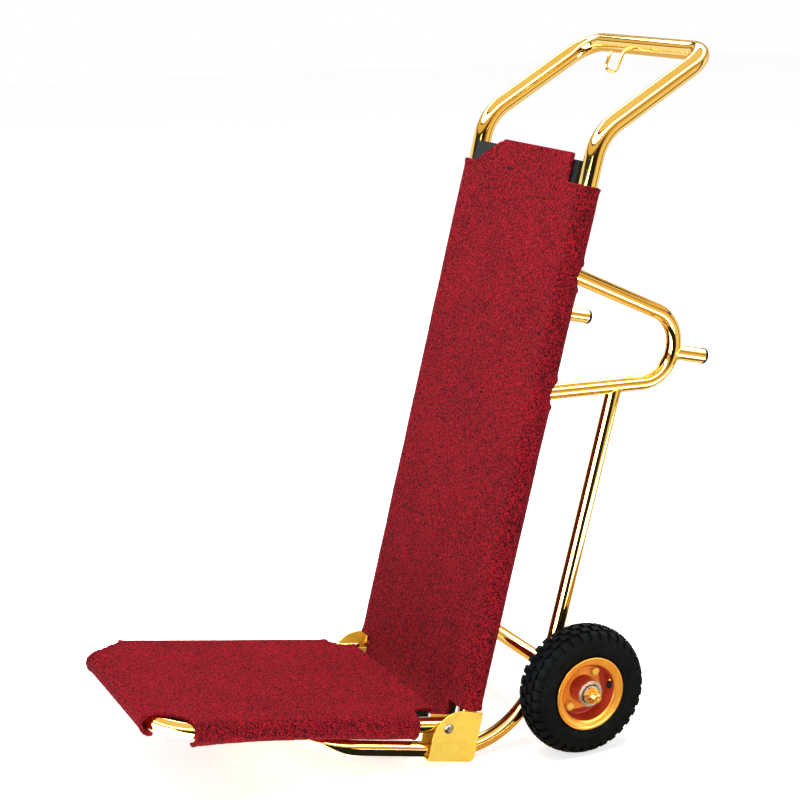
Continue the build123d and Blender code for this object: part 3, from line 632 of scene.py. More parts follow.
def hexed(x0, x1, across, bore):
    """A hexagon nut or bolt head about X with turned chamfers; a bore of 0 closes it."""
    sides, chamfer = 72, 1.2
    flat = across / 2
    corner = flat / cos(pi / 6)
    levels = [(x0, flat * 0.97), (x0 + chamfer * 0.5, corner * 0.985), (x0 + chamfer, corner),
              (x1 - chamfer, corner), (x1 - chamfer * 0.5, corner * 0.985), (x1, flat * 0.97)]
    rings = [[(x, r * cos(a), r * sin(a)) for a, r, _ in hex_spokes(flat, limit, sides)]
             for x, limit in levels]
    if bore:
        rings += [circle(x, r, sides) for x, r in ((x1, bore + 0.6), (x1 - 0.6, bore), (x0 + 0.6, bore),
                                                   (x0, bore + 0.6))]
        return skin(rings, closed=True)
    points, faces = skin(rings)
    low = len(points)
    top = low - sides
    points += [(x0, 0, 0), (x1, 0, 0)]
    for k in range(sides):
        far = (k + 1) % sides
        faces.append((low, far, k))
        faces.append((low + 1, top + k, top + far))
    return points, faces


# --- Frame tubes ----------------------------------------------------------------------------------


def upright_y(z):
    return UPRIGHT_FOOT_Y + z * tan(radians(UPRIGHT_LEAN))


def both_sides(profile):
    """One side's (y, z) corners carried over to the other side, as one path."""
    left = [(SIDE_X, y, z) for y, z in profile]
    return left + [(-x, y, z) for x, y, z in reversed(left)]


def loop_leg(y, top):
    start, slope = (LOOP_TOP, LOOP_TOP_SLOPE) if top else (LOOP_LOW, LOOP_LOW_SLOPE)
    return start[1] + slope * (y - start[0])


def loop_corners(side):
    y0, y1 = upright_y(820), upright_y(620)
    profile = [(y0, loop_leg(y0, True)), (LOOP_REAR_Y, loop_leg(LOOP_REAR_Y, True)),
               (LOOP_REAR_Y, loop_leg(LOOP_REAR_Y, False)), (y1, loop_leg(y1, False))]
    return [(side * SIDE_X, y, z) for y, z in profile]


def make_frame_tubes():
    main = both_sides([(upright_y(SMALL_R), SMALL_R), ARM_START, HANDLE])
    bends = [ARM_BEND, HANDLE_BEND, HANDLE_BEND, ARM_BEND]
    strut_end = (STRUT_TOP[0], loop_leg(STRUT_TOP[0], False))
    base = both_sides([strut_end, STRUT_FOOT, ROCKER_TURN, (BASE_FRONT_Y, SMALL_R)])
    base_bends = [STRUT_BEND, ROCKER_BEND, BASE_CORNER_BEND]
    base_path = rounded_path(base, base_bends + base_bends[::-1])
    main_path = rounded_path(main, bends)
    loop_paths = {side: rounded_path(loop_corners(side), [LOOP_BEND, LOOP_BEND]) for side in (1, -1)}
    data, _ = hollow_tube(main, bends, MAIN_R, 72, (base_path, SMALL_R), (base_path, SMALL_R))
    piece("main_tube_polished", data, STAND, "polished_gold", "frame", ["main_tube"])
    data, _ = hollow_tube(base, base_bends + base_bends[::-1], SMALL_R, 64,
                          (loop_paths[1], SMALL_R), (loop_paths[-1], SMALL_R))
    piece("base_tube_polished", data, STAND, "polished_gold", "frame", ["base_tube"])
    beads = []
    for name, side in SIDES.items():
        corners = loop_corners(side)
        data, loop_rings = hollow_tube(corners, [LOOP_BEND, LOOP_BEND], SMALL_R, 64,
                                       (main_path, MAIN_R), (main_path, MAIN_R))
        piece("side_loop_polished_" + name, data, STAND, "polished_gold", "frame", ["side_loop_" + name])
        peg = [(side * SIDE_X, LOOP_REAR_Y, PEG_Z), (side * SIDE_X, PEG_TIP_Y - PEG_CAP, PEG_Z)]
        data, peg_rings = hollow_tube(peg, None, SMALL_R, 64, (loop_paths[side], SMALL_R))
        piece("rest_peg_polished_" + name, data, STAND, "polished_gold", "frame", ["rest_peg_" + name])
        strut = [(side * SIDE_X, *strut_end), (side * SIDE_X, *STRUT_FOOT)]
        _, strut_rings = hollow_tube(strut, None, SMALL_R, 64, (loop_paths[side], SMALL_R))
        beads += [weld_bead(ring) for ring in (*loop_rings, peg_rings[0], strut_rings[0])]
        make_peg_cap(side, name)
    piece("weld_beads", joined(*beads), STAND, "polished_gold", "frame", smooth=60)


def make_peg_cap(side, name):
    """A moulded cap: a plug in the bore and a slightly domed head that stands proud of the tube."""
    head = SMALL_R + 0.6
    profile = [(-14, 0), (-14, SMALL_R - TUBE_WALL - 0.6), (-12, SMALL_R - TUBE_WALL),
               (0, SMALL_R - TUBE_WALL), (0, head), (PEG_CAP - 2.2, head), (PEG_CAP - 0.8, head - 0.9),
               (PEG_CAP - 0.3, head - 3.5), (PEG_CAP, 0)]
    along_y = shift(side * SIDE_X, PEG_TIP_Y - PEG_CAP, PEG_Z) @ turn(90, "Z")
    data = lathed(profile, 64, 0.5, closed=False)
    piece("peg_end_cap_" + name, data, STAND @ along_y, "black_rubber", "frame", ["peg_cap_" + name])


def make_hook():
    y, z = HANDLE
    corners = [(y - 8, z - 6), (y - 25, z - 12), (y - 35, z - 54), (y - 57, z - 50), (y - 52, z - 22)]
    wire = rod([(HOOK_X, *corner) for corner in corners], [10, 10, 9], HOOK_WIRE_R)
    root = Vector((HOOK_X, y - 15.0, z - 9.2))
    along = Vector((0, -17, -6)).normalized()
    ring = path_rings([root, root + along], HOOK_WIRE_R + 0.3, 28)[0]
    piece("garment_hook_wire", joined(wire, weld_bead(ring, 1.1, 10, 8)), STAND, "polished_gold", "frame",
          ["garment_hook"])


# --- Foot brackets' pivots ------------------------------------------------------------------------


def screw_head(radius, height):
    """A pan head about X, from x = 0 to height, with a cross recess pressed into it."""
    sides, rows = 64, 14
    recess_reach, recess_half, recess_depth = radius * 0.55, radius * 0.11, height * 0.72
    rings = [circle(0, radius, sides)]
    for row in range(1, rows):
        r = radius * cos(pi / 2 * row / rows) ** 0.75
        ring = []
        for _, y, z in circle(0, r, sides):
            x = height * (1 - (r / radius) ** 4) ** 0.5
            reach = max(abs(y), abs(z))
            if reach < recess_reach and min(abs(y), abs(z)) < recess_half:
                x -= recess_depth * (1 - reach / recess_reach) ** 0.5
            ring.append((x, y, z))
        rings.append(ring)
    return skin(rings, ends=True)


def make_pivots():
    outer = BRACKET_GAP / 2 + PLATE
    for name, side in SIDES.items():
        place = STAND if side > 0 else STAND @ MIRROR_X
        tip = -2 * outer - 9
        head = screw_head(7.0, 3.2)
        shank = lathed([(tip, 0), (tip, 3.4), (tip + 1, 4), (0, 4), (0, 0)], 32, 0.3, closed=False)
        washer = lathed([(-0.02, 4.1), (-0.02, 8.6), (0.9, 8.6), (0.9, 4.1)], 48, 0.3)
        screw = moved(joined(head, shank, washer), shift(SIDE_X + outer, *PIVOT))
        piece("pivot_screw_" + name, screw, place, "bright_steel", "frame", ["pivot_bolt_" + name])
        nut = moved(hexed(-7, 0, 13, 4.1), shift(SIDE_X - outer, *PIVOT))
        piece("pivot_lock_nut_" + name, nut, place, "bright_steel", "frame", ["pivot_nut_" + name])


# --- Carpet ---------------------------------------------------------------------------------------


def carpet_line(tube_r):
    """The carpet's inner face across a panel, from the middle out: flat, round the side tube, back to
    the board and along it. Rows of (distance, x, height, heading), height up from the tube's centre."""
    step = 0.5
    inner = tube_r + CARPET_GAP
    back = tube_r - BOARD - CARPET_GAP
    reach = SIDE_X - FLAP_FOOT_X
    slant = atan2(back, reach) + asin(inner / hypot(reach, back))
    settle = 10.0
    flap = sqrt(reach ** 2 + back ** 2 - inner ** 2) - settle / 2
    stretches = [(SIDE_X, 0.0), (inner * (pi + slant), -(pi + slant)), (flap, 0.0), (settle, slant),
                 (FLAP_STRIP - settle / 2, 0.0)]
    x, height, heading, distance = 0.0, inner, 0.0, 0.0
    rows = [(distance, x, height, heading)]
    for length, bend in stretches:
        count = ceil(length / step)
        for _ in range(count):
            heading += bend / count / 2
            x += cos(heading) * length / count
            height += sin(heading) * length / count
            heading += bend / count / 2
            distance += length / count
            rows.append((distance, x, height, heading))
    return np.array(rows)


def outline_distance(corners, u, v):
    """Signed distance to a closed outline, negative inside."""
    best = np.full(u.shape, 1e9)
    inside = np.zeros(u.shape, bool)
    for (u0, v0), (u1, v1) in zip(corners, corners[1:] + corners[:1]):
        du, dv = u1 - u0, v1 - v0
        share = np.clip(((u - u0) * du + (v - v0) * dv) / (du * du + dv * dv), 0, 1)
        best = np.minimum(best, np.hypot(u - u0 - share * du, v - v0 - share * dv))
        crosses = ((v0 > v) != (v1 > v)) & (u < (v - v0) * du / (dv if dv else 1e-9) + u0)
        inside ^= crosses
    return np.where(inside, -best, best)


def ragged(u, v, size):
    """A small uneven edge, the same every time."""
    wave = np.sin(u * 0.9 + 1.3 * np.sin(v * 0.37)) + np.sin(v * 1.1 + 1.7 * np.sin(u * 0.29))
    return size * 0.5 * wave


# Which sides of a panel a cut is in, by the sign of u
PLUS, MINUS, BOTH = (1,), (-1,), (1, -1)
BEYOND = 40.0             # cuts reach this far outside the panel
EDGE_ROLL = 4.2           # how far in from a cut edge the carpet rises
EDGE_LIFT = 1.9
EDGE_BULGE = 2.3


class Carpet:
    """A panel of carpet: a grid laid over (u, v), cut to shape, given its thickness and rolled edges.
    A cut is (sides, corners at positive u, rounding)."""

    def __init__(self, us, vs, place, cuts, seed):
        self.us, self.vs = np.meshgrid(us, vs, indexing="ij")
        self.place = place
        self.cuts = cuts
        self.seed = seed

    def past_edge(self, u, v):
        """Distance past the carpet's edge: negative within the carpet, positive in a cut."""
        depth = np.full(u.shape, -1e9)
        for sides, corners, rounding in self.cuts:
            for side in sides:
                depth = np.maximum(depth, rounding - outline_distance(corners, u * side, v))
        return depth + ragged(u, v, 1.1)

    def build(self):
        u, v = self.us.copy(), self.vs.copy()
        middle_u = (u[1:, 1:] + u[:-1, 1:] + u[1:, :-1] + u[:-1, :-1]) / 4
        middle_v = (v[1:, 1:] + v[:-1, 1:] + v[1:, :-1] + v[:-1, :-1]) / 4
        keep = self.past_edge(middle_u, middle_v) < 0
        full = np.zeros(u.shape, int)
        for a in (0, 1):
            for b in (0, 1):
                full[a:u.shape[0] - 1 + a, b:u.shape[1] - 1 + b] += keep
        edge = (full > 0) & (full < 4)
        border = np.zeros(u.shape, bool)
        border[0, :] = border[-1, :] = border[:, 0] = border[:, -1] = True
        self.settle_edge(u, v, edge & ~border)
        depth = np.minimum(self.past_edge(u, v), 0)
        from_rim = np.minimum.reduce([u - self.us.min(), self.us.max() - u,
                                      v - self.vs.min(), self.vs.max() - v])
        depth = np.maximum(depth, -from_rim)
        roll = np.exp(depth / EDGE_ROLL)
        outer = np.empty((*u.shape, 3))
        inner = np.empty((*u.shape, 3))
        for i in range(u.shape[0]):
            for j in range(u.shape[1]):
                if not full[i, j]:
                    continue
                spot = Vector((u[i, j] * 0.33, v[i, j] * 0.33, self.seed))
                pile = 0.42 * noise.noise(spot) + 0.55 * noise.noise(spot * 0.055)
                point, normal = self.place(u[i, j], v[i, j])
                lift = EDGE_LIFT * roll[i, j] * (1 + 0.8 * noise.noise(spot * 0.4))
                outer[i, j] = point + normal * (CARPET - 0.35 + pile * 0.8 + lift)
                inner[i, j] = point + normal * 0.1 * (1 + lift)
        return self.stitch(u, v, keep, full > 0, outer, inner)

    def settle_edge(self, u, v, edge):
        """Slide the cut edge's points on to the cut line."""
        reach = 0.48 * float(np.median(np.diff(self.vs[0])))
        nudge = 0.25
        for _ in range(3):
            eu, ev = u[edge], v[edge]
            depth = self.past_edge(eu, ev)
            slope_u = (self.past_edge(eu + nudge, ev) - self.past_edge(eu - nudge, ev)) / (2 * nudge)
            slope_v = (self.past_edge(eu, ev + nudge) - self.past_edge(eu, ev - nudge)) / (2 * nudge)
            steep = np.maximum(slope_u ** 2 + slope_v ** 2, 0.2)
            u[edge] -= np.clip(depth * slope_u / steep, -reach, reach)
            v[edge] -= np.clip(depth * slope_v / steep, -reach, reach)

    def stitch(self, u, v, keep, used, outer, inner):
        """Join the two faces, and close them round every border with a bulging edge."""
        index = np.full(u.shape, -1)
        index[used] = np.arange(used.sum())
        count = int(used.sum())
        points = [tuple(p) for p in outer[used]] + [tuple(p) for p in inner[used]]
        faces = []
        borders = {}    # in the order found, so that the mesh is the same every time
        outward = np.zeros((*u.shape, 2))
        for i, j in zip(*np.nonzero(keep)):
            ring = [(i, j), (i + 1, j), (i + 1, j + 1), (i, j + 1)]
            face = [index[a] for a in ring]
            faces.append(tuple(face))
            faces.append(tuple(k + count for k in reversed(face)))
            centre = (sum(u[a] for a in ring) / 4, sum(v[a] for a in ring) / 4)
            for a in ring:
                outward[a] += (u[a] - centre[0], v[a] - centre[1])
            for a, b in zip(ring, ring[1:] + ring[:1]):
                if (b, a) in borders:
                    del borders[(b, a)]
                else:
                    borders[(a, b)] = True
        bulge = {}
        for a, _ in borders:
            away = outward[a] / max(np.hypot(*outward[a]), 1e-6)
            point, normal = self.place(u[a] + away[0] * EDGE_BULGE, v[a] + away[1] * EDGE_BULGE)
            wobble = noise.noise(Vector((u[a] * 0.5, v[a] * 0.5, self.seed + 7)))
            bulge[a] = len(points)
            points.append(tuple(point + normal * (CARPET * 0.62 + 1.3 * wobble)))
        for a, b in borders:
            faces.append((index[b], index[a], bulge[a], bulge[b]))
            faces.append((bulge[b], bulge[a], index[a] + count, index[b] + count))
        return points, faces


def steps(*marks, spacing):
    """Places from the first mark to the last, with one on every mark, about a spacing apart."""
    places = [marks[0]]
    for end in marks[1:]:
        count = max(1, round((end - places[-1]) / spacing))
        start = places[-1]
        places += [start + (end - start) * k / count for k in range(1, count + 1)]
    return np.array(places)


def mirrored_steps(*marks, spacing):
    half = steps(*marks, spacing=spacing)
    return np.concatenate([-half[::-1], half[1:]])


def on_line(line, distance):
    """(x, height) and the outward normal at a distance along a carpet line."""
    x = np.interp(distance, line[:, 0], line[:, 1])
    height = np.interp(distance, line[:, 0], line[:, 2])
    heading = np.interp(distance, line[:, 0], line[:, 3])
    return x, height, -sin(heading), cos(heading)


def make_back_carpet():
    line = carpet_line(MAIN_R)
    reach = line[-1, 0]
    wrap_r = MAIN_R + CARPET_GAP

    def place(u, v):
        side = 1 if u >= 0 else -1
        x, height, nx, nh = on_line(line, abs(u))
        return np.array((side * x, -height, v)), np.array((side * nx, -nh, 0.0))

    def opening(level):
        """The hole where a side loop leaves the upright, an oval round its tube."""
        middle = SIDE_X + wrap_r * pi
        return [(middle + 21 * cos(tau * k / 20), level + 26 * sin(tau * k / 20)) for k in range(20)]

    far = reach + BEYOND
    top = BACK_TOP + 92
    loops = [loop_leg(upright_y(z) + MAIN_R, top) / cos(radians(UPRIGHT_LEAN))
             for z, top in ((820, True), (620, False))]
    cuts = [
        (BOTH, [(MIDDLE_HALF, 0), (far, 0), (far, BACK_FOOT), (MIDDLE_HALF, BACK_FOOT)], 1.5),
        (PLUS, [(155, BACK_SHOULDER + 2), (far, BACK_SHOULDER + 2), (far, top), (155, top)], 2.0),
        (MINUS, [(153, BACK_SHOULDER + 5), (far, BACK_SHOULDER + 2), (far, top), (68, top), (68, BACK_TOP),
                 (86, BACK_TOP - 5)], 2.0)]
    cuts += [(BOTH, opening(level), 0.0) for level in loops]
    us = mirrored_steps(0, MIDDLE_HALF, SIDE_X, SIDE_X + wrap_r * (pi + 0.35), reach, spacing=3.9)
    vs = steps(BACK_HEM, BACK_FOOT, BACK_SHOULDER, BACK_TOP, spacing=4.6)
    data = Carpet(us, vs, place, cuts, 1.0).build()
    made = piece("back_carpet_pile", data, UPRIGHT, "red_carpet", "frame", ["back_carpet"], smooth=75)


def make_platform_carpet():
    line = carpet_line(SMALL_R)
    reach = line[-1, 0]

    def place(u, v):
        side = 1 if u >= 0 else -1
        if v <= PLATFORM_LENGTH:
            x, height, nx, nh = on_line(line, abs(u))
            droop = hem_droop(abs(u), v, reach)
            return np.array((side * x, v, height - droop)), np.array((side * nx, 0.0, nh))
        y, height, ny, nh = on_line(line, SIDE_X + v - PLATFORM_LENGTH)
        return np.array((u, PLATFORM_LENGTH + y - SIDE_X, height)), np.array((0.0, ny, nh))

    far = reach + BEYOND
    front = PLATFORM_LENGTH + reach - SIDE_X + BEYOND
    wrap_r = SMALL_R + CARPET_GAP
    flap_at = SIDE_X + wrap_r * (pi + 0.25)
    front_flap = PLATFORM_LENGTH + flap_at - SIDE_X
    cuts = [
        (MINUS, [(149, front), (149, 500), (147, 487), (156, 470), (166, 457), (174, 447), (186, 442),
                 (200, 440), (far, 438), (far, front)], 1.0),
        (PLUS, [(131, front), (131, 504), (139, 490), (150, 477), (160, 465), (170, 452), (182, 443),
                (200, 438), (far, 436), (far, front)], 1.0),
        (BOTH, [(flap_at, front), (flap_at, 408), (far, 408), (far, front)], 1.0),
        (BOTH, [(114, front_flap), (far, front_flap), (far, front), (114, front)], 1.0),
        (BOTH, [(MIDDLE_HALF, -30), (MIDDLE_HALF, PLATFORM_WRAP_START - 14), (172, PLATFORM_WRAP_START),
                (far, PLATFORM_WRAP_START), (far, -30)], 1.0)]
    us = mirrored_steps(0, MIDDLE_HALF, SIDE_X, SIDE_X + wrap_r * (pi + 0.35), reach, spacing=3.6)
    vs = steps(PLATFORM_REAR, PLATFORM_WRAP_START, PLATFORM_LENGTH, PLATFORM_LENGTH + SMALL_R * (pi + 0.35),
               PLATFORM_LENGTH + reach - SIDE_X, spacing=3.9)
    data = Carpet(us, vs, place, cuts, 5.0).build()
    made = piece("platform_carpet_pile", data, PLATFORM, "red_carpet", "platform", ["platform_carpet"],
                 smooth=75)


def hem_droop(distance, v, reach):
    """How far the side wrap's lower edge hangs below its tube, near the front corners."""
    wrap = min(max((distance - SIDE_X - 14) / 22, 0), 1)
    back_to_board = min(max((reach - distance) / 40, 0), 1)
    forward = min(max((v - 300) / 130, 0), 1)
    rearward = min(max((215 - v) / 110, 0), 1)
    return wrap * back_to_board * (5.0 * forward ** 2 + 4.5 * rearward)


# --- Platform tube --------------------------------------------------------------------------------


def make_platform_tube():
    corners = [(SIDE_X, -PLATFORM_TAIL), (SIDE_X, PLATFORM_LENGTH), (-SIDE_X, PLATFORM_LENGTH),
               (-SIDE_X, -PLATFORM_TAIL)]
    data, _ = hollow_tube([(x, y, 0) for x, y in corners], [PLATFORM_CORNER, PLATFORM_CORNER], SMALL_R, 64)
    piece("platform_tube_polished", data, PLATFORM, "polished_gold", "platform", ["platform_tube"])


# --- Axle -----------------------------------------------------------------------------------------


def make_axle():
    """The tube between the struts, the axle through it, and each end's spacer, washer and nut."""
    at_axle = STAND @ shift(0, WHEEL_Y, WHEEL_Z)
    tube_end = SIDE_X + SMALL_R
    hub_inner, hub_outer = WHEEL_X - HUB_HALF - 0.35, WHEEL_X + HUB_HALF + 0.35
    washer_out = hub_outer + 2.2
    bore, hole, spacer_r = AXLE_R + 0.1, THREAD_R + 0.2, 12
    tube = lathed([(-tube_end, bore), (-tube_end, SMALL_R), (tube_end, SMALL_R), (tube_end, bore)], 64, 0.8)
    piece("axle_tube_polished", tube, at_axle, "polished_gold", "frame", ["axle_tube"])
    axle = piece("axle_threaded", lathed(axle_profile(washer_out + 1.0), 64, 0.25, closed=False), at_axle,
                 "bright_steel", "frame", ["axle_rod"])
    two_tone(axle, lambda centre: abs(centre.x) > (washer_out + 1) / 1000, "polished_gold")
    spacer = lathed([(tube_end, bore), (tube_end, spacer_r), (hub_inner, spacer_r), (hub_inner, bore)],
                    56, 0.6)
    washer = lathed([(hub_outer, hole), (hub_outer, WASHER_R), (washer_out, WASHER_R), (washer_out, hole)],
                    64, 0.5)
    nut = moved(castle_nut(), shift(washer_out, 0, 0))
    for name, data, material, node in (("axle_spacer_sleeves", spacer, "bright_steel", "axle_spacers"),
                                       ("axle_flat_washers", washer, "bright_steel", "axle_washers"),
                                       ("axle_castle_nuts", nut, "nut_gold", "axle_nuts")):
        pair = joined(data, moved(data, MIRROR_X))
        piece(name, pair, at_axle, material, "frame", [node])


def axle_profile(thread_start):
    """The axle from tip to tip: a plain middle, a thread at each end and a turned point."""
    end = AXLE_END + WHEEL_X
    seat = WHEEL_X + HUB_HALF - 1
    half = [(seat, AXLE_R), (seat, THREAD_R)]
    x = thread_start
    while x < end - 3:
        half += [(x, THREAD_R - 0.75), (x + 0.9, THREAD_R)]
        x += 1.8
    half += [(end - 4.2, THREAD_R), (end - 2.6, THREAD_R - 0.5), (end - 1.2, THREAD_R - 1.7),
             (end - 0.35, THREAD_R - 3.4), (end - 0.1, 2.2), (end - 0.1, 1.5), (end - 1.6, 0.0)]
    return [(-x, r) for x, r in reversed(half)] + half


def castle_nut():
    """A hexagon nut with a slotted crown."""
    flat, crown, bore = NUT_ACROSS / 2, NUT_CROWN / 2, THREAD_R + 0.05
    slot_half, slot_floor = 1.7, 8.15
    levels = [(0, flat * 0.97, False), (0.8, flat / cos(pi / 6), False), (6.8, flat / cos(pi / 6), False),
              (8.0, flat * 0.98, False), (8.1, crown, True), (11.4, crown, True), (12.0, crown - 0.6, True),
              (12.0, bore + 0.4, True), (11.6, bore, True), (8.1, bore, False), (0.5, bore, False),
              (0, bore + 0.5, False)]
    rings = [[(slot_floor if slotted and abs(off) * crown < slot_half else x, r * cos(a), r * sin(a))
              for a, r, off in hex_spokes(flat, limit, 96)] for x, limit, slotted in levels]
    return skin(rings, closed=True)


# --- Wheels ---------------------------------------------------------------------------------------

BLOCKS = 34
BLOCK_ARC = 0.62
GROOVE = 5.0
# Places within one block pitch, close together at the block edges of both staggered rows
PITCH_PLACES = [0.0, 0.04, 0.08, 0.12, 0.16, 0.24, 0.32, 0.41, 0.50, 0.54, 0.58, 0.62, 0.66, 0.74, 0.83,
                0.92]


def tyre_section():
    """Rows of (x, radius, nx, nr, distance from the middle) from the middle of the tread to one bead."""
    crown_half, crown_drop = TYRE_HALF - 4, 9.0
    crown_r = (crown_half ** 2 + crown_drop ** 2) / (2 * crown_drop)
    rows = []
    for x in (0, 2.5, 5.0, 5.6, 7.9, 8.5, 11, 14, 17.0, 17.6, 19.9, 20.5, 23, 25.5, 27.2, crown_half):
        drop = crown_r - sqrt(crown_r ** 2 - x ** 2)
        rows.append((x, TYRE_R - drop, x / crown_r, sqrt(1 - (x / crown_r) ** 2)))
    # sidewall: a round side from the shoulder to the bead
    foot_x, foot_r = RIM_HALF - 4.2, RIM_FLANGE + 1
    top_r = TYRE_R - crown_drop
    for k in range(1, 31):
        t = k / 30
        r = top_r + (foot_r - top_r) * t
        x = crown_half + (foot_x - crown_half) * t + 4.4 * sin(pi * t) ** 0.8
        rows.append((x, r, 0.0, 0.0))
    shaped = []
    travelled = 0.0
    for index, (x, r, nx, nr) in enumerate(rows):
        if index:
            travelled += hypot(x - rows[index - 1][0], r - rows[index - 1][1])
        if nx == 0 and nr == 0:
            before, after = rows[index - 1], rows[min(index + 1, len(rows) - 1)]
            dx, dr = after[0] - before[0], after[1] - before[1]
            size = hypot(dx, dr)
            nx, nr = -dr / size, dx / size
        shaped.append((x, r, nx, nr, travelled))
    return shaped


def tread_cut(x, travelled, pitch, side):
    """How deep the tread is cut at a place: 0 on a block, the groove's depth beside it."""
    shoulder_end = 42.0
    if travelled > shoulder_end:
        return 0.0
    depth = GROOVE * min(1.0, (shoulder_end - travelled) / 9.0) ** 0.7
    if x <= 5.3:
        start = 0.0
    elif x < 8.2:
        return depth
    elif x <= 17.3:
        start = 0.5
    elif x < 20.2:
        return depth
    else:
        start = 0.0 if side > 0 else 0.5
    within = (pitch - start) % 1.0
    if within <= 0.021 or within >= BLOCK_ARC + 0.019:
        return depth
    return 0.0


def sidewall_rib(r):
    """Raised rings moulded into the sidewall."""
    return sum(0.9 * max(0.0, 1 - ((r - at) / 1.3) ** 2) for at in (68.5, 76.0, 91.0))


def tyre_mesh():
    section = tyre_section()
    half = [(x, r, nx, nr, s, 1) for x, r, nx, nr, s in section]
    other = [(-x, r, -nx, nr, s, -1) for x, r, nx, nr, s in section[1:]]
    angles = [(block + place) / BLOCKS for block in range(BLOCKS) for place in PITCH_PLACES]
    rings = []
    for x, r, nx, nr, travelled, side in other[::-1] + half:
        rib = sidewall_rib(r) if travelled > 36 else 0.0
        ring = []
        for angle, pitch in zip(angles, PITCH_PLACES * BLOCKS):
            push = rib - tread_cut(abs(x) if travelled < 32 else 24, travelled, pitch, side)
            px, pr = x + nx * push, r + nr * push
            ring.append((px, pr * cos(tau * angle), pr * sin(tau * angle)))
        rings.append(ring)
    bead_x = RIM_HALF - 6.2
    for x, r in ((bead_x, RIM_FLANGE - 5), (bead_x, RIM_SEAT + 0.2), (-bead_x, RIM_SEAT + 0.2),
                 (-bead_x, RIM_FLANGE - 5)):
        rings.append([(x, r * cos(tau * a), r * sin(tau * a)) for a in angles])
    return skin(rings, closed=True)


def rim_profile(split):
    """Half a rim from its web at the split to its rolled lip, as (x, radius)."""
    w, seat, flange, sheet = RIM_HALF, RIM_SEAT, RIM_FLANGE, RIM_SHEET
    face = split + sheet
    corner = w - 4 - sheet / 2
    return [(split, HUB_R), (face, HUB_R), (face, seat - 4 - sheet), (face + 2.5, seat - 1.5 - sheet),
            (w - 4 - sheet, seat - sheet), (w - 3.2, seat + 2.5), (w - 2.2, flange - 5),
            (w - 0.4, flange - 3), (w, flange - 1.2), (w - 0.8, flange), (w - 2.4, flange),
            (w - 4.2, flange - 3.5), (corner, seat + 4), (corner - 1, seat), (split + 3, seat - 1.5),
            (split, seat - 5)]


def two_tone(made, test, second):
    """Give the faces that pass the test a second material."""
    made.data.materials.append(MATERIALS[second])
    for face in made.data.polygons:
        face.material_index = 1 if test(face.center) else 0


def plate_reach(angle):
    """Distance from the axle to the edge of the hub plate: a round middle and two ears, hulled."""
    from_ear = abs((angle - radians(BOLT_ANGLE) + pi / 2) % pi - pi / 2)
    # the common tangent touches the middle at this angle from the ear's line
    leave = pi / 2 - asin((PLATE_R - PLATE_EAR) / BOLT_CIRCLE)
    if from_ear > leave:
        return PLATE_R
    if from_ear > atan2(PLATE_EAR * sin(leave), BOLT_CIRCLE + PLATE_EAR * cos(leave)):
        return PLATE_R / cos(leave - from_ear)
    return BOLT_CIRCLE * cos(from_ear) + sqrt(PLATE_EAR ** 2 - (BOLT_CIRCLE * sin(from_ear)) ** 2)


def plate_disc(face):
    """The hub's plate, with a pressed ring round the hub and a raised pad at each bolt."""
    rows = [(0.0, 0.0), (0.08, 1.0), (0.20, 0.1), (0.30, -0.3), (0.55, -0.4), (0.80, -0.3), (0.94, -0.1),
            (0.985, -0.35), (1.0, -1.1)]
    sides = 160
    front = face + PLATE_SHEET - 0.5
    fine = []
    for (r0, h0), (r1, h1) in zip(rows, rows[1:]):
        count = max(1, ceil((r1 - r0) * 22))
        fine += [(r0 + (r1 - r0) * k / count, h0 + (h1 - h0) * k / count) for k in range(count)]
    fine.append(rows[-1])
    reach = [plate_reach(tau * k / sides) - HUB_R for k in range(sides)]

    def outline(share):
        spokes = [(HUB_R + reach[k] * share, tau * k / sides) for k in range(sides)]
        return [(r * cos(a), r * sin(a)) for r, a in spokes]

    rings = [[(face, y, z) for y, z in outline(share)] for share in (0.0, 1.0)]
    for share, h in reversed(fine):
        ring = []
        for y, z in outline(share):
            away = min(hypot(y - bolt_y, z - bolt_z) for bolt_y, bolt_z in BOLTS)
            pad = 0.5 * min(max((7.6 - away) / 1.2, 0), 1)
            ring.append((front + h + pad, y, z))
        rings.append(ring)
    return skin(rings, closed=True)


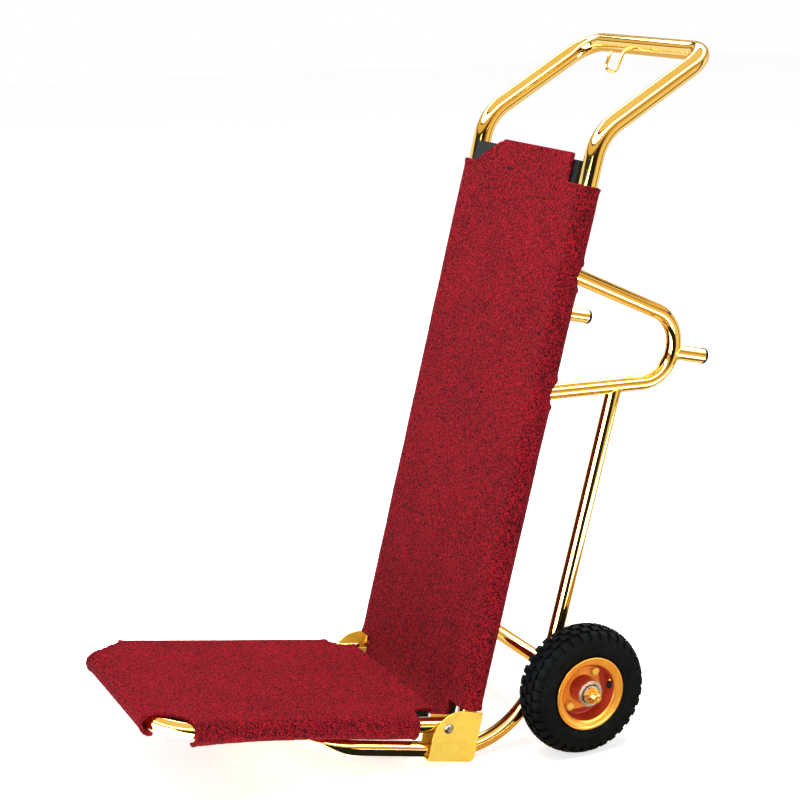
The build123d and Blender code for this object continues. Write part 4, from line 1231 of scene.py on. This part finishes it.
def make_wheel(name):
    body = "wheel_" + name
    place = WHEELS[name]
    piece("tyre_tread_" + name, tyre_mesh(), place, "tyre_rubber", body, ["tyre_" + name], smooth=32)
    axis_at = place.translation
    deep = (RIM_HALF - 7.5) / 1000

    # faces deep in the rim get the red-brown lacquer, a painted reflection of the dark surround and the red
    # carpet
    def painted_reflection_faces(centre):
        from_axis = hypot(centre.y - axis_at.y, centre.z - axis_at.z) * 1000
        return abs(centre.x - axis_at.x) < deep and from_axis < RIM_SEAT - 0.3

    for half, split, half_place in (("outer", RIM_SPLIT, place), ("inner", -RIM_SPLIT, place @ MIRROR_X)):
        spun = piece("rim_%s_spun_%s" % (half, name), lathed(rim_profile(split), 160, 1.1), half_place,
                     "rim_gold", body, ["rim_%s_%s" % (half, name)], smooth=50)
        two_tone(spun, painted_reflection_faces, "rim_painted_reflection")
    plates = joined(plate_disc(RIM_SPLIT + RIM_SHEET),
                    moved(plate_disc(-RIM_SPLIT + RIM_SHEET), MIRROR_X))
    piece("hub_discs_" + name, plates, place, "plate_gold", body, ["hub_plates_" + name], smooth=40)
    seat = HUB_HALF - BEARING_WIDTH
    shell = [(-HUB_HALF, BEARING_R), (-HUB_HALF, HUB_R), (HUB_HALF, HUB_R), (HUB_HALF, BEARING_R),
             (seat, BEARING_R), (seat, BEARING_R - 2.5), (-seat, BEARING_R - 2.5), (-seat, BEARING_R)]
    # the hub shell wears the same painted-reflection red-brown; only its end faces are bright steel
    hub = piece("hub_shell_" + name, lathed(shell, 96, 0.7), place, "rim_painted_reflection", body, ["hub_" + name])
    two_tone(hub, lambda centre: abs(centre.x - axis_at.x) > (HUB_HALF - 1.4) / 1000, "bright_steel")
    make_bearings(name, place, body)
    make_rim_bolts(name, place, body)
    make_valve(name, place, body)


def make_bearings(name, place, body):
    races, seals = [], []
    back, face = HUB_HALF - BEARING_WIDTH, HUB_HALF - 0.05
    out, mid, bore = RACE_OUTER, RACE_INNER, AXLE_R + 0.1
    seal = [(back + 1, mid), (back + 1, out), (face - 0.8, out), (face - 0.5, 15.6), (face - 1.2, 14.2),
            (face - 0.6, 12.6), (face - 0.9, mid)]
    for side in (Matrix.Identity(4), MIRROR_X):
        outer = lathed([(back, out), (back, BEARING_R), (face, BEARING_R), (face, out)], 96, 0.6)
        inner = lathed([(back, bore), (back, mid), (face, mid), (face, bore)], 72, 0.5)
        races += [moved(outer, side), moved(inner, side)]
        seals.append(moved(lathed(seal, 96, 0.3), side))
    piece("bearing_races_" + name, joined(*races), place, "bright_steel", body, ["wheel_bearings_" + name])
    piece("bearing_seals_" + name, joined(*seals), place, "black_rubber", body)


def make_rim_bolts(name, place, body):
    face = RIM_SPLIT + RIM_SHEET + PLATE_SHEET + 0.2
    back = RIM_SPLIT - RIM_SHEET - PLATE_SHEET - 0.2
    head = hexed(face + 0.7, face + 6.0, 13, 0)
    flange = lathed([(face, 0), (face, 7.6), (face + 0.7, 7.6), (face + 0.7, 0)], 48, 0.3, closed=False)
    shank = lathed([(back - 8, 0), (back - 8, 3.4), (back - 7.2, 4.0), (face, 4.0), (face, 0)], 32, 0.2,
                   closed=False)
    bolts, nuts = [], []
    for y, z in BOLTS:
        at = shift(0, y, z) @ turn(24, "X")
        bolts += [moved(one, at) for one in (head, flange, shank)]
        nuts.append(moved(hexed(back - 6.5, back, 13, 4.05), at))
    piece("rim_hex_bolts_" + name, joined(*bolts), place, "satin_gold", body, ["rim_bolts_" + name])
    piece("rim_hex_nuts_" + name, joined(*nuts), place, "nut_gold", body, ["rim_nuts_" + name])


def make_valve(name, place, body):
    """The valve stands on the rim's barrel and leans out; threads on the brass, a ribbed black cap."""
    foot_x, foot_r = 13.0, RIM_SEAT - RIM_SHEET - 0.4
    tip_x, tip_r = 26.0, 38.5
    length = hypot(tip_x - foot_x, foot_r - tip_r)
    tilt = degrees(atan2(tip_x - foot_x, foot_r - tip_r))
    at_foot = place @ turn(VALVE_ANGLE - 90, "X") @ shift(foot_x, 0, foot_r)
    at = at_foot @ turn(180 - tilt, "Y") @ turn(-90, "Y")
    stem = [(-3.0, 0), (-3.0, 5.4), (0.2, 5.4), (2.4, 4.6), (3.2, 3.3)]
    x = 3.6
    while x < length - 6:
        stem += [(x, 3.3), (x + 0.45, 2.8)]
        x += 0.9
    stem += [(length - 4, 2.9), (length - 4, 0)]
    piece("valve_stem_turned_" + name, lathed(stem, 40, 0.12, closed=False), at, "nut_gold", body,
          ["valve_stem_" + name])
    levels = [(length - 9, 3.0), (length - 9, 4.6), (length - 8.4, 4.75), (length + 1.2, 4.6),
              (length + 2.6, 3.9), (length + 3.0, 2.4)]
    sides = 72
    rings = []
    for x, r in levels:
        # every other pair of points on the cap's barrel is sunk between the ribs
        sizes = [r - 0.22 if k % 4 in (0, 1) and r > 4.2 else r for k in range(sides)]
        rings.append([(x, size * cos(tau * k / sides), size * sin(tau * k / sides))
                      for k, size in enumerate(sizes)])
    piece("valve_cap_ribbed_" + name, skin(rings, ends=True), at, "black_rubber", body,
          ["valve_cap_" + name])


# --- CAD pieces that keep their own shape ---------------------------------------------------------

KEPT = {
    "satin_gold": ["foot_bracket_left", "foot_bracket_right"],
    "black_board": ["back_board", "platform_board"],
    "polished_gold": ["axle_lug_left", "axle_lug_right"],
    "black_rubber": ["inner_tube_left", "inner_tube_right"],
    "bright_steel": ["back_board_tabs", "back_board_screws", "platform_board_tabs", "platform_board_screws",
                     "pivot_bushes", "cotter_pins", "bearing_spacer_left", "bearing_spacer_right"]}


def finish_kept_nodes():
    for material, names in KEPT.items():
        for name in names:
            node = frame["nodes"][name]
            node.data.materials.clear()
            node.data.materials.append(MATERIALS[material])


# --- Studio ---------------------------------------------------------------------------------------

CAMERA_AT = (2.6862, -1.2883, 1.3387)
CAMERA_AZIMUTH = 64.10
CAMERA_ELEVATION = 14.33
CAMERA_ROLL = -0.515
CAMERA_LENS = 83.14
CART_MIDDLE = Vector((0, 0.02, 0.5))
WHITE = (1, 1, 1, 1)
SURROUND_STRENGTH = 0.27


def make_camera():
    az, el, roll = radians(CAMERA_AZIMUTH), radians(CAMERA_ELEVATION), radians(CAMERA_ROLL)
    ahead = Vector((-sin(az) * cos(el), cos(az) * cos(el), -sin(el)))
    right = Vector((cos(az), sin(az), 0))
    up = right.cross(ahead)
    tilted_right = right * cos(roll) + up * sin(roll)
    tilted_up = up * cos(roll) - right * sin(roll)
    data = bpy.data.cameras.new("camera")
    data.lens = CAMERA_LENS
    data.sensor_width = 36.0
    data.clip_end = 60.0
    camera = bpy.data.objects.new("camera", data)
    camera.matrix_world = Matrix((tilted_right, tilted_up, -ahead)).transposed().to_4x4()
    camera.location = CAMERA_AT
    bpy.context.scene.collection.objects.link(camera)
    bpy.context.scene.camera = camera


def area_light(name, azimuth, elevation, distance, size, watts):
    """A soft box that looks at the middle of the cart and that polished metal doesn't mirror."""
    az, el = radians(azimuth), radians(elevation)
    away = Vector((sin(az) * cos(el), -cos(az) * cos(el), sin(el)))
    data = bpy.data.lights.new(name, "AREA")
    data.shape = "RECTANGLE"
    data.size, data.size_y = size
    data.energy = watts
    light = bpy.data.objects.new(name, data)
    light.location = CART_MIDDLE + away * distance
    light.rotation_euler = away.to_track_quat("Z", "Y").to_euler()
    light.visible_glossy = False
    bpy.context.scene.collection.objects.link(light)


def at_bearing(offset):
    """A bearing off the camera's own in degrees, as the share of a turn that Nodes.bearing gives."""
    return ((CAMERA_AZIMUTH - 90 + offset + 180) / 360) % 1.0


# What polished metal mirrors: pale walls, black flags, white soft boxes and gold-lit walls. Each band is
# (place, colour), and a colour is (r, g, b) or a grey.
GLOSS_STRENGTH = 9.0
# round about, by bearing off the camera's
WALL_BANDS = sorted([
    (at_bearing(-160), (0.080, 0.058, 0.030)), (at_bearing(-118), 0.110), (at_bearing(-84), 0.100),
    (at_bearing(-79), 0.008), (at_bearing(-70), 0.008), (at_bearing(-64), 1.0), (at_bearing(-22), 1.0),
    (at_bearing(-17), 0.002), (at_bearing(34), 0.002), (at_bearing(40), (0.075, 0.048, 0.020)),
    (at_bearing(84), (0.090, 0.066, 0.035)), (at_bearing(90), 0.006), (at_bearing(97), 0.006),
    (at_bearing(103), 0.110), (at_bearing(150), (0.090, 0.064, 0.032))])
# overhead, from 0 straight down over 0.5 level to 1 straight up
CEILING_BANDS = [
    (0.0, 0.10), (0.60, 0.10), (0.615, 0.004), (0.640, 0.004), (0.655, (0.085, 0.060, 0.030)),
    (0.74, (0.095, 0.070, 0.036)), (0.752, 0.004), (0.766, 0.004), (0.776, 0.85), (0.855, 0.85),
    (0.868, 0.006), (0.884, 0.006), (0.896, (0.100, 0.082, 0.050)), (1.0, (0.100, 0.082, 0.050))]
# on the floor, going outwards as a share of FLOOR_SPAN metres
FLOOR_SPAN = 8.0
FLOOR_BANDS = [
    (0.0, (0.070, 0.045, 0.018)), (0.105, (0.075, 0.048, 0.020)), (0.115, (0.060, 0.022, 0.008)),
    (0.140, (0.060, 0.022, 0.008)), (0.150, 0.90), (0.250, 0.90), (0.260, 0.010), (0.285, 0.010),
    (0.300, (0.105, 0.085, 0.050)), (1.0, (0.105, 0.085, 0.050))]


def make_world():
    """A white studio. Polished metal sees its soft boxes, its dark side and its pale walls; everything
    else is lit by a plain white surround."""
    world = bpy.data.worlds.new("studio")
    bpy.context.scene.world = world
    world.use_nodes = True
    world.node_tree.nodes.clear()
    studio = Nodes(world.node_tree)
    direction = studio.node("ShaderNodeTexCoord").outputs["Generated"]
    up = studio.node("ShaderNodeSeparateXYZ", {"Vector": direction}).outputs["Z"]
    height = studio.math("MULTIPLY_ADD", up, 0.5, 0.5)
    walls = studio.ramp(studio.bearing(direction), WALL_BANDS)
    ceiling = studio.ramp(height, CEILING_BANDS)
    upward = studio.ramp(height, [(0.0, 0.0), (0.60, 0.0), (0.615, 1.0), (1.0, 1.0)])

    def background(colour, strength):
        return studio.node("ShaderNodeBackground", {"Color": colour, "Strength": strength}).outputs[0]

    shiny = background(studio.mix(upward, walls, ceiling), GLOSS_STRENGTH)
    plain = background(WHITE, SURROUND_STRENGTH)
    backdrop = background(WHITE, 1.0)
    ray = studio.node("ShaderNodeLightPath").outputs
    lit = studio.node("ShaderNodeMixShader", {0: ray["Is Glossy Ray"], 1: plain, 2: shiny}).outputs[0]
    final = studio.node("ShaderNodeMixShader", {0: ray["Is Camera Ray"], 1: lit, 2: backdrop}).outputs[0]
    studio.node("ShaderNodeOutputWorld", {"Surface": final})


def make_floor():
    """A plain pale floor, large enough to fill the view; polished metal sees bands of light on it."""
    half = 14.0
    count = 8
    row = count + 1
    spots = [-half + 2 * half * k / count for k in range(row)]
    points = [(x, y, -0.0005) for y in spots for x in spots]
    corners = [r * row + c for r in range(count) for c in range(count)]
    faces = [(corner, corner + 1, corner + row + 1, corner + row) for corner in corners]
    mesh = bpy.data.meshes.new("floor")
    mesh.from_pydata(points, [], faces)
    floor = bpy.data.objects.new("floor", mesh)
    bpy.context.scene.collection.objects.link(floor)
    finish = Finish("pale_floor", (0.93, 0.93, 0.93), 0.9, 0.0,
                    {"Emission Color": WHITE, "Emission Strength": 0.72, "Specular IOR Level": 0.0})
    finish.paint(Base_Color=finish.ramp(finish.noise(1.5, 2), [(0.3, 0.92), (0.7, 0.94)]))
    share = finish.bearing(finish.place)
    distance = finish.node("ShaderNodeVectorMath", {0: finish.place}, operation="LENGTH").outputs["Value"]
    beside = finish.ramp(finish.math("MULTIPLY", distance, 1 / FLOOR_SPAN), FLOOR_BANDS)
    walls = finish.ramp(share, WALL_BANDS)
    zone = finish.ramp(share, [(at_bearing(38), 0.0), (at_bearing(41), 1.0), (at_bearing(84), 1.0),
                               (at_bearing(88), 0.0)])
    glow = finish.node("ShaderNodeEmission", {
        "Color": finish.mix(zone, walls, beside), "Strength": GLOSS_STRENGTH}).outputs[0]
    seen = finish.node("ShaderNodeLightPath").outputs["Is Glossy Ray"]
    mixed = finish.node("ShaderNodeMixShader", {0: seen, 1: finish.shader.outputs[0], 2: glow}).outputs[0]
    finish.tree.links.new(mixed, finish.tree.nodes["Material Output"].inputs["Surface"])
    mesh.materials.append(finish.material)


def make_studio():
    make_camera()
    make_world()
    make_floor()
    area_light("key", -28, 38, 4.2, (2.4, 1.8), 30)
    area_light("overhead", 30, 82, 3.6, (3.0, 3.0), 245)
    area_light("fill", 75, 22, 5.0, (3.0, 2.0), 20)
    bpy.context.scene.view_settings.view_transform = "Standard"


# --- The whole cart -------------------------------------------------------------------------------

make_studio()
make_frame_tubes()
make_hook()
make_pivots()
make_back_carpet()
make_platform_carpet()
make_platform_tube()
make_axle()
for wheel_name in WHEELS:
    make_wheel(wheel_name)
finish_kept_nodes()
